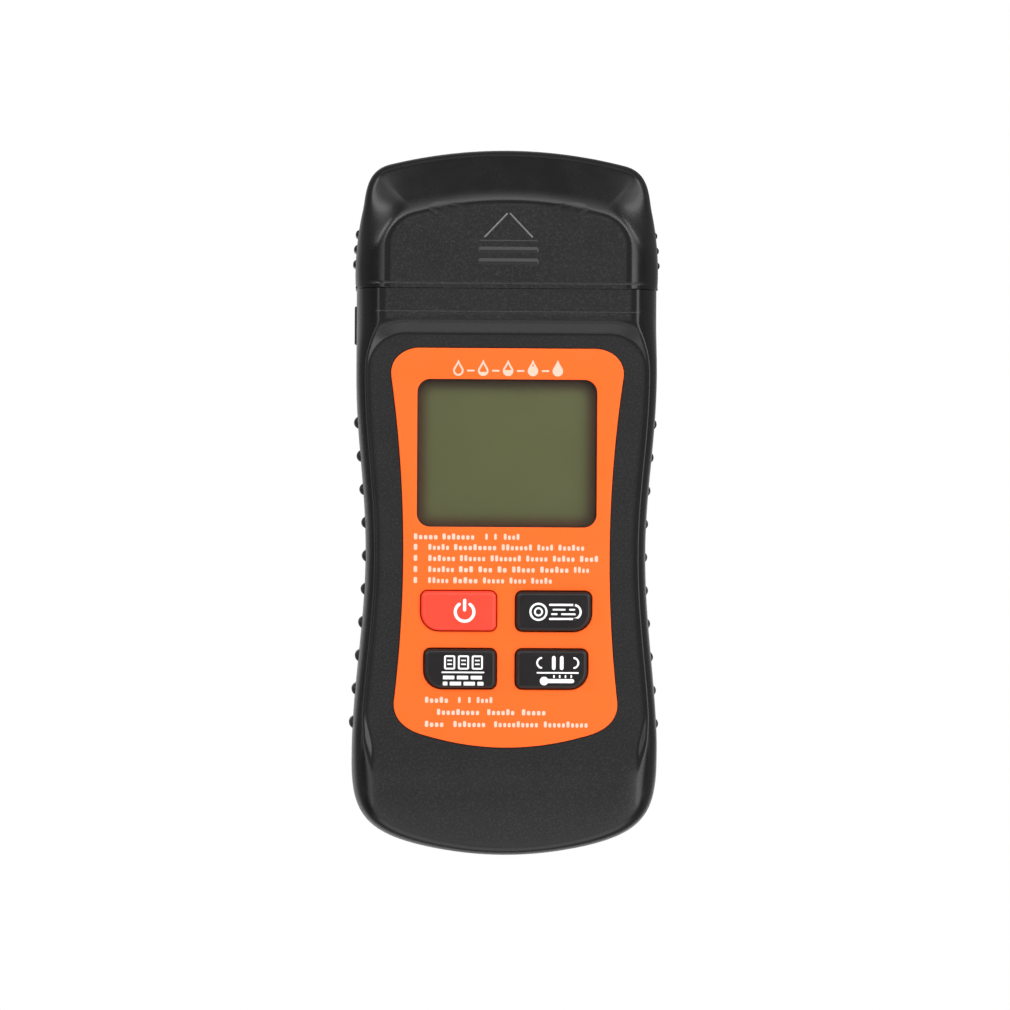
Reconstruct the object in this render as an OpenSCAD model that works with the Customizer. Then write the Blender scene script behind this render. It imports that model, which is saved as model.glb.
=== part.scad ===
// Two-pin moisture meter with its protective cap on, lying on its back.
// +Z comes out of the display, +Y points to the test pins, and the origin is the middle of the footprint.

/* [Case] */
// Length from the crown of the cap to the tail of the case
overall_length = 141; // [140.5:0.1:142]
// Half width of the case at its waist
waist_half = 27.9; // [27.8:0.1:28.2]
// Height of the moulded front face above the back
face_z = 24.8; // [24.8:0.1:25]
// Height of the plane where the front and rear shells meet
split_z = 11; // [11:0.1:11.4]
// Wall thickness of the shells
wall = 2.2; // [2:0.1:2.4]

/* [Cap] */
// Where the mouth of the cap meets the case
cap_mouth_y = 42.6; // [42.4:0.1:42.8]

/* [Faceplate and display] */
// Height of the faceplate's top surface
plate_top_z = 25.1; // [25:0.1:25.2]
// Width of the display window
window_w = 35.8; // [35:0.1:36.2]
// Height of the display window
window_h = 29.4; // [28.8:0.1:29.6]

/* [Keys] */
// Width of the two upper keys
upper_key_w = 14.7; // [14:0.1:15]
// Width of the two lower keys
lower_key_w = 14; // [13.4:0.1:14.3]
// Height of every key
key_h = 7.6; // [7:0.1:7.9]
// Height of the key tops above the back
key_top_z = 26.2; // [25.8:0.1:26.6]

/* [Pins and batteries] */
// Distance from the centre line to each test pin
pin_x = 12.5; // [11:0.1:13]
// Radius of the bare needle
needle_r = 0.8; // [0.6:0.05:0.9]
// Radius of a battery cell
cell_r = 5.25; // [5:0.05:5.25]

/* [Hidden] */
$fn = 48;
eps = 0.01;
fit_gap = 0.1;

black = [0.20, 0.20, 0.21];
rubber_black = [0.15, 0.15, 0.16];
orange = [0.99, 0.45, 0.17];
red = [0.98, 0.30, 0.24];
steel = [0.75, 0.76, 0.78];
brass = [0.80, 0.65, 0.33];

crown_y = overall_length / 2;
tail_y = -overall_length / 2;

// Side curve of the case: a waist that swells into shoulders above and hips below.
waist_y = -10;
shoulder_rise = 2.1;
shoulder_run = 36;
hip_rise = 2.6;
hip_run = 42;
hip_end_y = -52;
hip_ease = 10.2;
tail_arc_x = 15.5;
tail_ease = 12;
tail_radius = 72;

// Side and crown of the cap.
cap_half = 30.3;
cap_widest_y = 46;
cap_side_radius = 57;
cap_corner_y = 58.5;
corner_ease = 2.9;
crown_arc_x = 23.5;
crown_ease = 5.1;
crown_radius = 95;

// Heights of the stack inside, from the back up.
door_z = 0.2;
door_top_z = 2.2;
cell_z = 7.85;
bay_ceiling_z = 13.3;
bay_top_z = 14.5;
pcb_z = 15.6;
pcb_top_z = 17.2;
switch_top_z = 20.7;
flange_z = 21.7;
flange_top_z = 22.7;
wall_under_z = 22.8;
pocket_z = 24.2;
neck_z = 26.6;
roof_low_z = 19;
roof_low_y = -56;

// Places along the case.
pan_y = 33.8;
pan_corner = 7.5;
pan_rim = 2.6;
pan_slope = 1.45;
deck_y = 50;
deck_inner_y = 48;
throat_y = 39.9;
socket_r = 2.6;

door_half = 18.4;
door_rail_half = 19.6;
door_inner_y = -7.6;
door_lip_y = -66.2;
door_lip_z = 6.5;

bay_half = 16.65;
bay_low_y = -58;
bay_high_y = -8.7;
cell_pitch = 10.9;
cell_can = 43.5;
cell_nub = 1;
contact_t = 0.3;

window_y = 9.9;
window_r = 2.6;
upper_key_y = -21.5;
lower_key_y = -33;
upper_key_x = 9.45;
lower_key_x = 9.1;
key_gap = 0.3;
key_outer_r = 3.4;
key_inner_r = 1.1;

case_screw_at = [[23, 33], [-23, 33], [23.6, -52], [-23.6, -52]];
pcb_screw_at = [[14.5, 37.5], [-14.5, 37.5], [21.3, -42], [-21.3, -42]];
key_at = [[-upper_key_x, upper_key_y], [upper_key_x, upper_key_y],
    [-lower_key_x, lower_key_y], [lower_key_x, lower_key_y]];

grip_low_z = 6;
grip_high_z = 16;
grip_top_y = 22;
grip_bottom_y = -50;
grip_depth = 1;
grip_rib_y = 16;
grip_rib_pitch = 6.69;
grip_ribs = 10;
grip_rib_r = 1.25;

// ---- Outlines -------------------------------------------------------------------------------

function ease(t) = (1 - cos(180 * t)) / 2;

function case_half(y) = y > waist_y
    ? waist_half + shoulder_rise * ease(min(1, (y - waist_y) / shoulder_run))
    : waist_half + hip_rise * ease(min(1, (waist_y - y) / hip_run));

function cap_side(y) = cap_half - pow(y - cap_widest_y, 2) / (2 * cap_side_radius);

function bezier(a, b, c, d, n) = [for (i = [0:n]) let (t = i / n, u = 1 - t)
    u * u * u * a + 3 * u * u * t * b + 3 * u * t * t * c + t * t * t * d];

function arc(cx, cy, r, from, to, n) =
    [for (i = [0:n]) let (a = from + (to - from) * i / n) [cx + r * cos(a), cy + r * sin(a)]];

// Points of the right-hand half of the case, from the top of its side to the middle of the tail.
function case_points(top_y) =
    let (hip = case_half(hip_end_y),
        arc_y = tail_y + tail_arc_x * tail_arc_x / (2 * tail_radius),
        slope = tail_arc_x / tail_radius)
    concat(
        [for (i = [0:11]) let (y = top_y + (hip_end_y - top_y) * i / 12) [case_half(y), y]],
        bezier([hip, hip_end_y], [hip + 0.1, hip_end_y - hip_ease],
            [tail_arc_x + tail_ease, arc_y + tail_ease * slope], [tail_arc_x, arc_y], 7),
        [for (i = [1:3]) let (x = tail_arc_x * (1 - i / 3)) [x, tail_y + x * x / (2 * tail_radius)]]);

// Points of the right-hand half of the cap, from the middle of its crown to its mouth.
function cap_points() =
    let (arc_y = crown_y - crown_arc_x * crown_arc_x / (2 * crown_radius),
        slope = crown_arc_x / crown_radius,
        side_x = cap_side(cap_corner_y),
        lean = (cap_corner_y - cap_widest_y) / cap_side_radius)
    concat(
        [for (i = [0:3]) let (x = crown_arc_x * i / 4) [x, crown_y - x * x / (2 * crown_radius)]],
        bezier([crown_arc_x, arc_y], [crown_arc_x + crown_ease, arc_y - crown_ease * slope],
            [side_x - corner_ease * lean, cap_corner_y + corner_ease], [side_x, cap_corner_y], 7),
        [for (i = [1:6]) let (y = cap_corner_y + (cap_mouth_y - cap_corner_y) * i / 6) [cap_side(y), y]]);

// Moves each point of a half outline inwards, by side across the case and by end along it.
function inset(points, side, end) =
    let (n = len(points))
    [for (i = [0:n - 1])
        let (a = points[max(0, i - 1)], b = points[min(n - 1, i + 1)],
            d = norm(b - a), out = [-(b[1] - a[1]), b[0] - a[0]] / d)
        [max(0, points[i][0] - side * out[0]), points[i][1] - end * out[1]]];

// A half outline from its top to its bottom, closed across the centre line.
function whole(half) = concat(half, [for (i = [len(half) - 1:-1:0]) if (half[i][0] > eps) [-half[i][0], half[i][1]]]);

function case_ring(side, end, top_y) =
    let (p = inset(case_points(top_y), side, end), n = len(p))
    concat([[p[0][0], top_y]], [for (i = [1:n - 2]) p[i]], [[0, tail_y + end]]);

function cap_ring(side, end) =
    let (p = inset(cap_points(), side, end), n = len(p))
    concat([[0, crown_y - end]], [for (i = [1:n - 2]) p[i]], [[p[n - 1][0], cap_mouth_y]]);

// Solid through rings [z, half outline], all with the same number of points.
module loft(rings) {
    half_n = len(rings[0][1]);
    n = len(whole(rings[0][1]));
    last = (len(rings) - 1) * n;
    turn = rings[0][1][0][0] > eps ? n - 1 : n;
    points = [for (r = rings) for (p = whole(r[1])) [p[0], p[1], r[0]]];
    sides = [for (k = [0:len(rings) - 2]) for (i = [0:n - 1]) let (j = (i + 1) % n)
        each [[k * n + i, k * n + j, (k + 1) * n + j], [k * n + i, (k + 1) * n + j, (k + 1) * n + i]]];
    // Each end is closed by strips between a point and its mirror image.
    strips = [for (i = [0:half_n - 2]) let (a = i, b = i + 1, c = (turn - b) % n, d = (turn - a) % n)
        each [if (b != c) [a, b, c], if (a != d) [a, c, d]]];
    bottom = [for (f = strips) [f[2], f[1], f[0]]];
    top = [for (f = strips) [last + f[0], last + f[1], last + f[2]]];
    polyhedron(points, concat(sides, bottom, top), convexity = 6);
}

module prism(half, low, high) translate([0, 0, low]) linear_extrude(high - low) polygon(whole(half));

// Prism along Y of a right-hand half profile given as [x, z], from its lowest to its highest point.
module profile_bar(half, low_y, high_y)
    translate([0, high_y, 0]) rotate([90, 0, 0]) linear_extrude(high_y - low_y)
        polygon(concat(half, [for (i = [len(half) - 1:-1:0]) [-half[i][0], half[i][1]]]));

module box(low, high) translate(low) cube(high - low);

// Rounded rectangle whose four corners, anticlockwise from the upper right, have their own radii.
function rounded(w, h, r) = concat(
    arc(w / 2 - r[0], h / 2 - r[0], r[0], 0, 90, 6),
    arc(-w / 2 + r[1], h / 2 - r[1], r[1], 90, 180, 6),
    arc(-w / 2 + r[2], -h / 2 + r[2], r[2], 180, 270, 6),
    arc(w / 2 - r[3], -h / 2 + r[3], r[3], 270, 360, 6));

module rounded_block(at, w, h, r, low, high)
    translate([at[0], at[1], low]) linear_extrude(high - low) polygon(rounded(w, h, r));

// Keys carry their large corner at the lower outer side.
function key_corners(right, grow) = right
    ? [key_inner_r + grow, key_inner_r + grow, key_inner_r + grow, key_outer_r + grow]
    : [key_inner_r + grow, key_inner_r + grow, key_outer_r + grow, key_inner_r + grow];

function key_w(i) = i < 2 ? upper_key_w : lower_key_w;

module key_prisms(grow, low, high)
    for (i = [0:3])
        rounded_block(key_at[i], key_w(i) + 2 * grow, key_h + 2 * grow, key_corners(i % 2 == 1, grow), low, high);

// ---- Shared profiles ------------------------------------------------------------------------

// How far the front of the case and cap has closed in at each height above the straight sides.
side_steps = [[16.5, 0], [20.5, 0.35], [23.4, 1.05], [25.3, 2.1], [26.2, 3.4], [neck_z, 5.2]];

// Half cross-section of the spigot that the cap slides over.
function spigot_profile(grow) = [[25.5, 3.4 - grow], [27.4 + grow, 5], [27.4 + grow, 13.5 + grow],
    [26.9 + grow, 18 + grow], [25.4 + grow, 22 + grow], [22.6, 23.9 + grow]];

hollow_profile = [[24, 5.4], [25.4, 6.6], [25.4, 13.2], [24.9, 17], [23.4, 20.6], [21.4, 21.9]];

// Half outline of the faceplate: it follows the waist, a little tighter.
function plate_half(y) = 20.55 + pow(y + 10.6, 2) / 494;

function plate_outline(grow) =
    let (top = 30.8 + grow, bottom = -48.7 - grow,
        hip = plate_half(-39.8) + grow, low_x = 15.8, low_y = -46.4 - grow)
    concat(
        [[0, top]],
        bezier([17.4, top], [20.6, top], [plate_half(27.6) + grow, 28.6], [plate_half(25.2) + grow, 25.2], 6),
        [for (i = [1:9]) let (y = 25.2 - 65 * i / 10) [plate_half(y) + grow, y]],
        bezier([hip, -39.8], [hip + 0.1, -43], [low_x + 4.4, low_y + 1.1], [low_x, low_y], 6),
        [for (i = [1:4]) let (x = low_x * (1 - i / 4)) [x, bottom + x * x / 108]]);

// ---- Case -----------------------------------------------------------------------------------

rear_rings = [[0, 3.2, 4], [0.8, 1.6, 2], [2.4, 0.5, 0.6], [5, 0, 0], [split_z, 0, 0]];

module rear_outer() {
    loft([for (r = rear_rings) [r[0], case_ring(r[1], r[2], cap_mouth_y)]]);
    // Raised thumb pads beside the neck.
    for (side = [-1, 1])
        translate([side * 30, 35.6, 7.8]) cube([0.8, 7.6, 6.4], center = true);
}

// Everything the battery door takes up, grown by a gap on the sides that slide.
module door_space(gap) {
    box([-door_half - gap, tail_y - 1, -1], [door_half + gap, door_inner_y + gap, door_top_z + gap]);
    box([-door_rail_half - gap, tail_y - 1, 1.2 - gap], [door_rail_half + gap, door_inner_y + gap, door_top_z + gap]);
    box([-door_half - gap, tail_y - 1, -1], [door_half + gap, door_lip_y + gap, door_lip_z + gap]);
}

// Band along one side of the case, from a depth below the side curve to a height above it.
module side_band(side, depth, proud) {
    ys = [for (i = [0:24]) grip_top_y + (grip_bottom_y - grip_top_y) * i / 24];
    mirror([side < 0 ? 1 : 0, 0, 0]) translate([0, 0, grip_low_z]) linear_extrude(grip_high_z - grip_low_z)
        polygon(concat([for (y = ys) [case_half(y) + proud, y]],
            [for (i = [24:-1:0]) [case_half(ys[i]) - depth, ys[i]]]));
}

module grip_space(side) side_band(side, grip_depth + 0.05, 2);

module screw_posts(at, r, low, high) for (p = at) translate([p[0], p[1], low]) cylinder(r = r, h = high - low);

// Half of the spigot under the cap, whose end wall is the deck that carries the pins.
module spigot_half(low, high) intersection() {
    profile_bar(spigot_profile(0), cap_mouth_y - 2, deck_y);
    box([-31, 30, low], [31, 60, high]);
}

// The way from the case into the spigot, and the holes in the deck for the pin sockets.
module pin_passages() {
    profile_bar(hollow_profile, throat_y, deck_inner_y);
    for (side = [-1, 1]) along_y(side * pin_x, throat_y) cylinder(r = socket_r + 0.05, h = 20);
}

module rear_housing() color(black) difference() {
    union() {
        difference() {
            rear_outer();
            prism(case_ring(wall + 0.6, wall + 0.6, throat_y + 0.1), wall, split_z + 1);
        }
        spigot_half(0, split_z);
        screw_posts(case_screw_at, 3.4, 1, split_z);
        // Battery bay.
        box([-bay_half - 1.2, bay_low_y - 1.4, wall - 0.6], [bay_half + 1.2, bay_high_y + 1.4, bay_top_z]);
        // Rails beside the door, and the wall that closes the case behind its lip.
        for (side = [-1, 1])
            translate([side * 20.6, -36, 2.7]) cube([2, 58, 1.8], center = true);
        box([-21.6, door_lip_y + 0.3, wall - 0.6], [21.6, door_lip_y + 1.8, split_z]);
    }
    box([-bay_half, bay_low_y, 0], [bay_half, bay_high_y, bay_ceiling_z]);
    door_space(0.2);
    for (side = [-1, 1]) grip_space(side);
    screw_posts(case_screw_at, 1.4, -1, split_z + 1);
    screw_posts(case_screw_at, 2.5, -1, 5);
    pin_passages();
    // Slots for the solder tabs of the battery plates.
    for (side = [-1, 1])
        box([side * cell_pitch - 1.3, bay_high_y - 1, 8], [side * cell_pitch + 1.3, bay_high_y + 2, 11]);
}

// Height of the front along its middle, as [y, z], before the face is sunk into it.
spine = [[-34, neck_z + 1], [-36, neck_z], [-44, 25.9], [-52, 24.9], [-60, 23.6], [-66, 22], [-69.5, 20], [-72, 17]];

// Half outline of the sunken face, grown outwards.
function pan_outline(grow) =
    let (r = pan_corner + grow, x = case_half(pan_y) - pan_rim - pan_corner)
    concat([for (i = [0:6]) let (a = 90 - 15 * i) [x + r * cos(a), pan_y - pan_corner + r * sin(a)]],
        [for (i = [1:8]) let (y = 26.3 - 80 * i / 8) [case_half(y) - pan_rim + grow, y]],
        [[18, -70 - grow], [0, -72 - grow]]);

module front_outer() difference() {
    intersection() {
        loft(concat([[split_z, case_ring(0, 0, cap_mouth_y)]],
            [for (s = side_steps) [s[0], case_ring(s[1], 1.3 * s[1], cap_mouth_y)]]));
        translate([-40, 0, 0]) rotate([90, 0, 90]) linear_extrude(80)
            polygon(concat(spine, [[-72, 0], [50, 0], [50, neck_z + 1]]));
    }
    loft([[face_z, pan_outline(0)], [neck_z + 1, pan_outline((neck_z + 1 - face_z) * pan_slope)]]);
}

module front_housing() color(black) difference() {
    union() {
        difference() {
            front_outer();
            prism(case_ring(wall + 1, wall + 2, throat_y + 0.1), split_z - 1, roof_low_z);
            intersection() {
                prism(case_ring(wall + 1, wall + 2, throat_y + 0.1), roof_low_z - 1, wall_under_z);
                box([-40, roof_low_y, 0], [40, 50, 40]);
            }
        }
        spigot_half(split_z, 30);
        screw_posts(case_screw_at, 3, split_z, wall_under_z + 0.2);
        screw_posts(pcb_screw_at, 2.2, pcb_top_z, wall_under_z + 0.2);
    }
    prism(plate_outline(0.15), pocket_z, 30);
    // Opening under the lens, with a ledge that the lens is glued to.
    rounded_block([0, window_y], window_w + 3.4, window_h + 3.4, [3, 3, 3, 3], 23.3, 30);
    rounded_block([0, window_y], window_w - 0.4, window_h - 0.4, [2, 2, 2, 2], 20, 30);
    key_prisms(key_gap, 20, 30);
    for (side = [-1, 1]) grip_space(side);
    screw_posts(case_screw_at, 1.18, split_z - 1, 20.5);
    screw_posts(pcb_screw_at, 0.88, pcb_top_z - 1, 22);
    pin_passages();
}

module battery_door() color(black) difference() {
    intersection() {
        rear_outer();
        door_space(0);
    }
    box([-40, -80, -1], [40, 0, door_z]);
    // Room behind the lip.
    box([-door_half + 3.4, door_lip_y - 1.4, door_top_z], [door_half - 3.4, door_lip_y + 1, door_lip_z + 1]);
    // Thumb grooves and the arrow that shows which way the door slides.
    for (i = [0:4])
        box([-6, -58 - 2.2 * i, 0], [6, -57 - 2.2 * i, 0.6]);
    for (side = [-1, 1])
        translate([side * 2.6, -52.4, 0.4]) rotate([0, 0, side * 38]) cube([6.6, 0.8, 0.8], center = true);
}

module grip(side) color(rubber_black) {
    intersection() {
        side_band(side, grip_depth, 0);
        box([-40, grip_bottom_y + fit_gap, grip_low_z + fit_gap], [40, grip_top_y - fit_gap, grip_high_z - fit_gap]);
    }
    mirror([side < 0 ? 1 : 0, 0, 0])
        for (i = [0:grip_ribs - 1])
            let (y = grip_rib_y - grip_rib_pitch * i)
                translate([case_half(y) - 0.45, y, 7.4]) intersection() {
                    cylinder(r = grip_rib_r, h = 7.2);
                    translate([-0.4, -2, -1]) cube([3, 4, 10]);
                }
}

// ---- Cap ------------------------------------------------------------------------------------

cap_back = [[0.2, 3.2, 3.6], [0.9, 1.7, 1.9], [2.6, 0.6, 0.7], [5, 0, 0]];

// How far the crown has closed in at each height of side_steps.
crown_steps = [0, 1.2, 4.4, 7.2, 8.6, 9.6];

cap_rings = concat(cap_back, [for (i = [0:5]) [side_steps[i][0], side_steps[i][1], crown_steps[i]]]);

module pin_cap() color(black) {
    difference() {
        loft([for (r = cap_rings) [r[0], cap_ring(r[1], r[2])]]);
        profile_bar(spigot_profile(0.3), cap_mouth_y - 1, deck_y + 0.3);
        box([-23.6, deck_y - 1, 3.4], [23.6, 63.6, 19.4]);
    }
    // Two bars on the front and three ribs on each side, for pulling the cap off.
    for (y = [50.2, 47.9])
        box([-6.1, y, neck_z - 0.3], [6.1, y + 1, neck_z + 0.35]);
    for (side = [-1, 1], i = [0:2])
        let (y = 53.8 - 3 * i)
            translate([side * (cap_side(y) - 0.35), y, 7.7]) cylinder(r = 0.8, h = 6);
}

// ---- Faceplate, display and keys ------------------------------------------------------------

module faceplate() color(orange) difference() {
    prism(plate_outline(0), pocket_z, plate_top_z);
    rounded_block([0, window_y], window_w, window_h, window_r * [1, 1, 1, 1], pocket_z - 1, plate_top_z + 1);
    key_prisms(key_gap, pocket_z - 1, plate_top_z + 1);
}

module display_lens() color([0.7, 0.75, 0.7, 0.3])
    rounded_block([0, window_y], window_w + 3.2, window_h + 3.2, [2.9, 2.9, 2.9, 2.9], 23.3, pocket_z);

// A key cap with the flange that keeps it behind the faceplate.
module key(i, tint) color(tint) {
    rounded_block(key_at[i], key_w(i), key_h, key_corners(i % 2 == 1, 0), flange_z, key_top_z);
    rounded_block(key_at[i], key_w(i) + 2, key_h + 2, [1, 1, 1, 1], flange_z, flange_top_z);
}

module plunger(i) color([0.85, 0.85, 0.82])
    translate([key_at[i][0], key_at[i][1], 19.9]) cylinder(r = 1.7, h = flange_z - 19.9);

module tact_switches() for (p = key_at) {
    color([0.12, 0.12, 0.12]) difference() {
        translate([p[0] - 3, p[1] - 3, pcb_top_z]) cube([6, 6, switch_top_z - pcb_top_z]);
        translate([p[0], p[1], 19.2]) cylinder(r = 1.8, h = 3);
    }
}

module lcd_glass() color([0.55, 0.58, 0.42]) {
    box([-21, window_y - 17, 20.4], [21, window_y + 17, 21.4]);
    box([-21, window_y - 15.2, 21.4], [21, window_y + 15.2, 22.4]);
}

module lcd_reflector() color([0.5, 0.53, 0.38])
    box([-19.4, window_y - 14.8, 20.15], [19.4, window_y + 14.8, 20.4]);

module lcd_holder() color([0.9, 0.9, 0.88]) difference() {
    box([-23, window_y - 19, pcb_top_z], [23, window_y + 19, wall_under_z - fit_gap]);
    box([-21.1, window_y - 17.1, 20.4], [21.1, window_y + 17.1, 23]);
    box([-19.5, window_y - 17.1, pcb_top_z - 1], [19.5, window_y + 17.1, 23]);
}

module zebra_strips() color([0.9, 0.5, 0.5])
    for (side = [-1, 1])
        translate([-19, window_y + side * 15.9 - 1, pcb_top_z]) cube([38, 2, 20.4 - pcb_top_z]);

// ---- Electronics ----------------------------------------------------------------------------

module main_pcb() color([0.1, 0.36, 0.2]) difference() {
    prism([[0, 42], [18.5, 42], [18.5, 28], [24, 28], [24, -46], [0, -46]], pcb_z, pcb_top_z);
    screw_posts(pcb_screw_at, 0.95, pcb_z - 1, pcb_top_z + 1);
}

module controller_chip() {
    color([0.1, 0.1, 0.1]) box([-13, 3, pcb_z - 1.6], [-3, 13, pcb_z - 0.2]);
    color(steel) for (i = [0:7])
        box([-14.2, 4 + i * 1.1, pcb_z - 0.25], [-1.8, 4.4 + i * 1.1, pcb_z]);
}

module amplifier_chip() {
    color([0.1, 0.1, 0.1]) box([-2.5, 29, pcb_z - 1.7], [2.5, 33, pcb_z - 0.2]);
    color(steel) for (i = [0:3])
        box([-1.95 + i * 1.1, 28, pcb_z - 0.25], [-1.55 + i * 1.1, 34, pcb_z]);
}

module crystal() color(steel) rounded_block([-8, 20], 8, 3.6, [1.7, 1.7, 1.7, 1.7], pcb_z - 3, pcb_z);

module smd_parts() color([0.75, 0.68, 0.55]) {
    for (i = [0:4], j = [0:1])
        box([-13 + i * 3, 24 + j * 2.2, pcb_z - 0.7], [-11.4 + i * 3, 24.9 + j * 2.2, pcb_z]);
    for (i = [0:2])
        box([8 + i * 2.6, 30, pcb_z - 0.9], [9.3 + i * 2.6, 32, pcb_z]);
}

module buzzer() color([0.1, 0.1, 0.1]) difference() {
    translate([11, 12, pcb_z - 7.5]) cylinder(r = 6, h = 7.5);
    translate([11, 12, pcb_z - 8.5]) cylinder(r = 1.2, h = 2);
}

module temperature_sensor() {
    color([0.15, 0.15, 0.15]) translate([0, 38, 11.5]) sphere(r = 1.4);
    color(steel) for (side = [-1, 1]) translate([side * 0.8, 38, 12.2]) cylinder(r = 0.25, h = pcb_z - 12.2);
}

// ---- Fasteners ------------------------------------------------------------------------------

module screw(at, head_z, head_r, head_h, shank_r, tip_z) translate([at[0], at[1], head_z]) difference() {
    union() {
        cylinder(r = head_r, h = head_h);
        cylinder(r = shank_r, h = tip_z - head_z);
    }
    for (turn = [0, 90]) rotate([0, 0, turn]) cube([head_r * 1.3, 0.5, 1.4], center = true);
}

module housing_screws() color(steel) for (p = case_screw_at) screw(p, 3.4, 2.3, 1.6, 1.15, 19);

module pcb_screws() color(steel) for (p = pcb_screw_at) screw(p, pcb_z - 1.2, 1.7, 1.2, 0.85, 21.5);

// ---- Test pins ------------------------------------------------------------------------------

module along_y(x, y) translate([x, y, split_z]) rotate([-90, 0, 0]) children();

module test_pin(side) color(steel) {
    along_y(side * pin_x, 44) cylinder(r = 1.5, h = 8.9);
    along_y(side * pin_x, 52.9) cylinder(r = needle_r, h = 5.3);
    along_y(side * pin_x, 58.2) cylinder(r1 = needle_r, r2 = 0.1, h = 3.2);
}

module pin_nuts() color(steel) for (side = [-1, 1]) difference() {
    along_y(side * pin_x, 50.45) cylinder(r = 3.1, h = 2.4, $fn = 6);
    along_y(side * pin_x, 50) cylinder(r = 1.55, h = 4);
}

module pin_sockets() color(brass) for (side = [-1, 1]) difference() {
    union() {
        along_y(side * pin_x, 40.5) cylinder(r = socket_r, h = 9.9);
        along_y(side * pin_x, 46) cylinder(r = 3.6, h = 1.9);
    }
    along_y(side * pin_x, 43.9) cylinder(r = 1.55, h = 8);
}

module socket_contacts() color(brass) for (side = [-1, 1])
    box([side * pin_x - 2, 40.05, 9], [side * pin_x + 2, 40.45, pcb_z - 0.02]);

// ---- Batteries ------------------------------------------------------------------------------

// The middle cell points the other way from its neighbours.
function nub_up(i) = i != 1;
function cell_low(i) = nub_up(i) ? bay_high_y - contact_t - cell_nub - cell_can : bay_low_y + contact_t + cell_nub;

module battery_cell(i) {
    x = (i - 1) * cell_pitch;
    color([0.2, 0.35, 0.6]) translate([x, cell_low(i), cell_z]) rotate([-90, 0, 0]) cylinder(r = cell_r, h = cell_can);
    nub_y = nub_up(i) ? cell_low(i) + cell_can : cell_low(i) - cell_nub;
    color(steel) translate([x, nub_y, cell_z]) rotate([-90, 0, 0]) cylinder(r = 1.9, h = cell_nub);
}

function frame_at(points, i) =
    let (n = len(points), d = points[min(n - 1, i + 1)] - points[max(0, i - 1)],
        t = d / norm(d), side = cross(t, abs(t[2]) < 0.9 ? [0, 0, 1] : [1, 0, 0]), u = side / norm(side))
    [u, cross(t, u)];

// Tube of round section that follows a list of points.
module tube(points, r, sides) {
    n = len(points);
    verts = [for (i = [0:n - 1]) let (f = frame_at(points, i)) for (k = [0:sides - 1])
        points[i] + r * (cos(360 * k / sides) * f[0] + sin(360 * k / sides) * f[1])];
    walls = [for (i = [0:n - 2], k = [0:sides - 1]) let (m = (k + 1) % sides)
        each [[i * sides + k, (i + 1) * sides + m, i * sides + m], [i * sides + k, (i + 1) * sides + k, (i + 1) * sides + m]]];
    start = [for (k = [0:sides - 1]) k];
    end = [for (k = [sides - 1:-1:0]) (n - 1) * sides + k];
    polyhedron(verts, concat(walls, [start], [end]), convexity = 10);
}

// Conical contact spring, from its wide coil on the plate to its narrow coil on the cell.
function spring_points(x, from_y, to_y) = [for (i = [0:56]) let (t = i / 56, r = 3.4 - 1.2 * t)
    [x + r * cos(1440 * t), from_y + (to_y - from_y) * t, cell_z + r * sin(1440 * t)]];

module battery_springs() color(steel) for (i = [0:2])
    let (x = (i - 1) * cell_pitch,
        plate_y = nub_up(i) ? bay_low_y + contact_t : bay_high_y - contact_t,
        cell_y = nub_up(i) ? cell_low(i) : cell_low(i) + cell_can,
        way = nub_up(i) ? 1 : -1)
        tube(spring_points(x, plate_y + way * 0.26, cell_y - way * 0.26), 0.25, 6);

module battery_plates() color(steel) {
    // Two joining plates, and one with a solder tab at each end of the string.
    box([-bay_half + 0.2, bay_low_y, 3], [cell_pitch / 2 - 0.4, bay_low_y + contact_t, 12.6]);
    box([cell_pitch / 2 + 0.4, bay_low_y, 3], [bay_half - 0.2, bay_low_y + contact_t, 12.6]);
    box([-cell_pitch / 2 + 0.4, bay_high_y - contact_t, 3], [cell_pitch / 2 - 0.2, bay_high_y, 12.6]);
    for (side = [-1, 1]) {
        box([side * cell_pitch - 4.6, bay_high_y - contact_t, 3], [side * cell_pitch + 4.6, bay_high_y, 12.6]);
        box([side * cell_pitch - 1, bay_high_y - contact_t, 8.4], [side * cell_pitch + 1, bay_high_y + 2.6, 8.7]);
    }
}

lead_r = 0.6;
lead_route = [[cell_pitch, -6.6, 8.75], [cell_pitch, -6.6, 10], [cell_pitch - 0.2, -6.4, 11.2],
    [cell_pitch - 0.5, -5.9, 12.4], [cell_pitch - 0.8, -5.4, 13.5], [cell_pitch - 1, -5.1, 14.5],
    [cell_pitch - 1, -5, 15.55]];

module battery_lead_red() color([0.8, 0.1, 0.1]) tube(lead_route, lead_r, 8);

module battery_lead_black() color([0.1, 0.1, 0.1]) tube([for (p = lead_route) [p[0] - 2 * cell_pitch, p[1], p[2]]], lead_r, 8);

// ---- Nodes ----------------------------------------------------------------------------------

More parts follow.
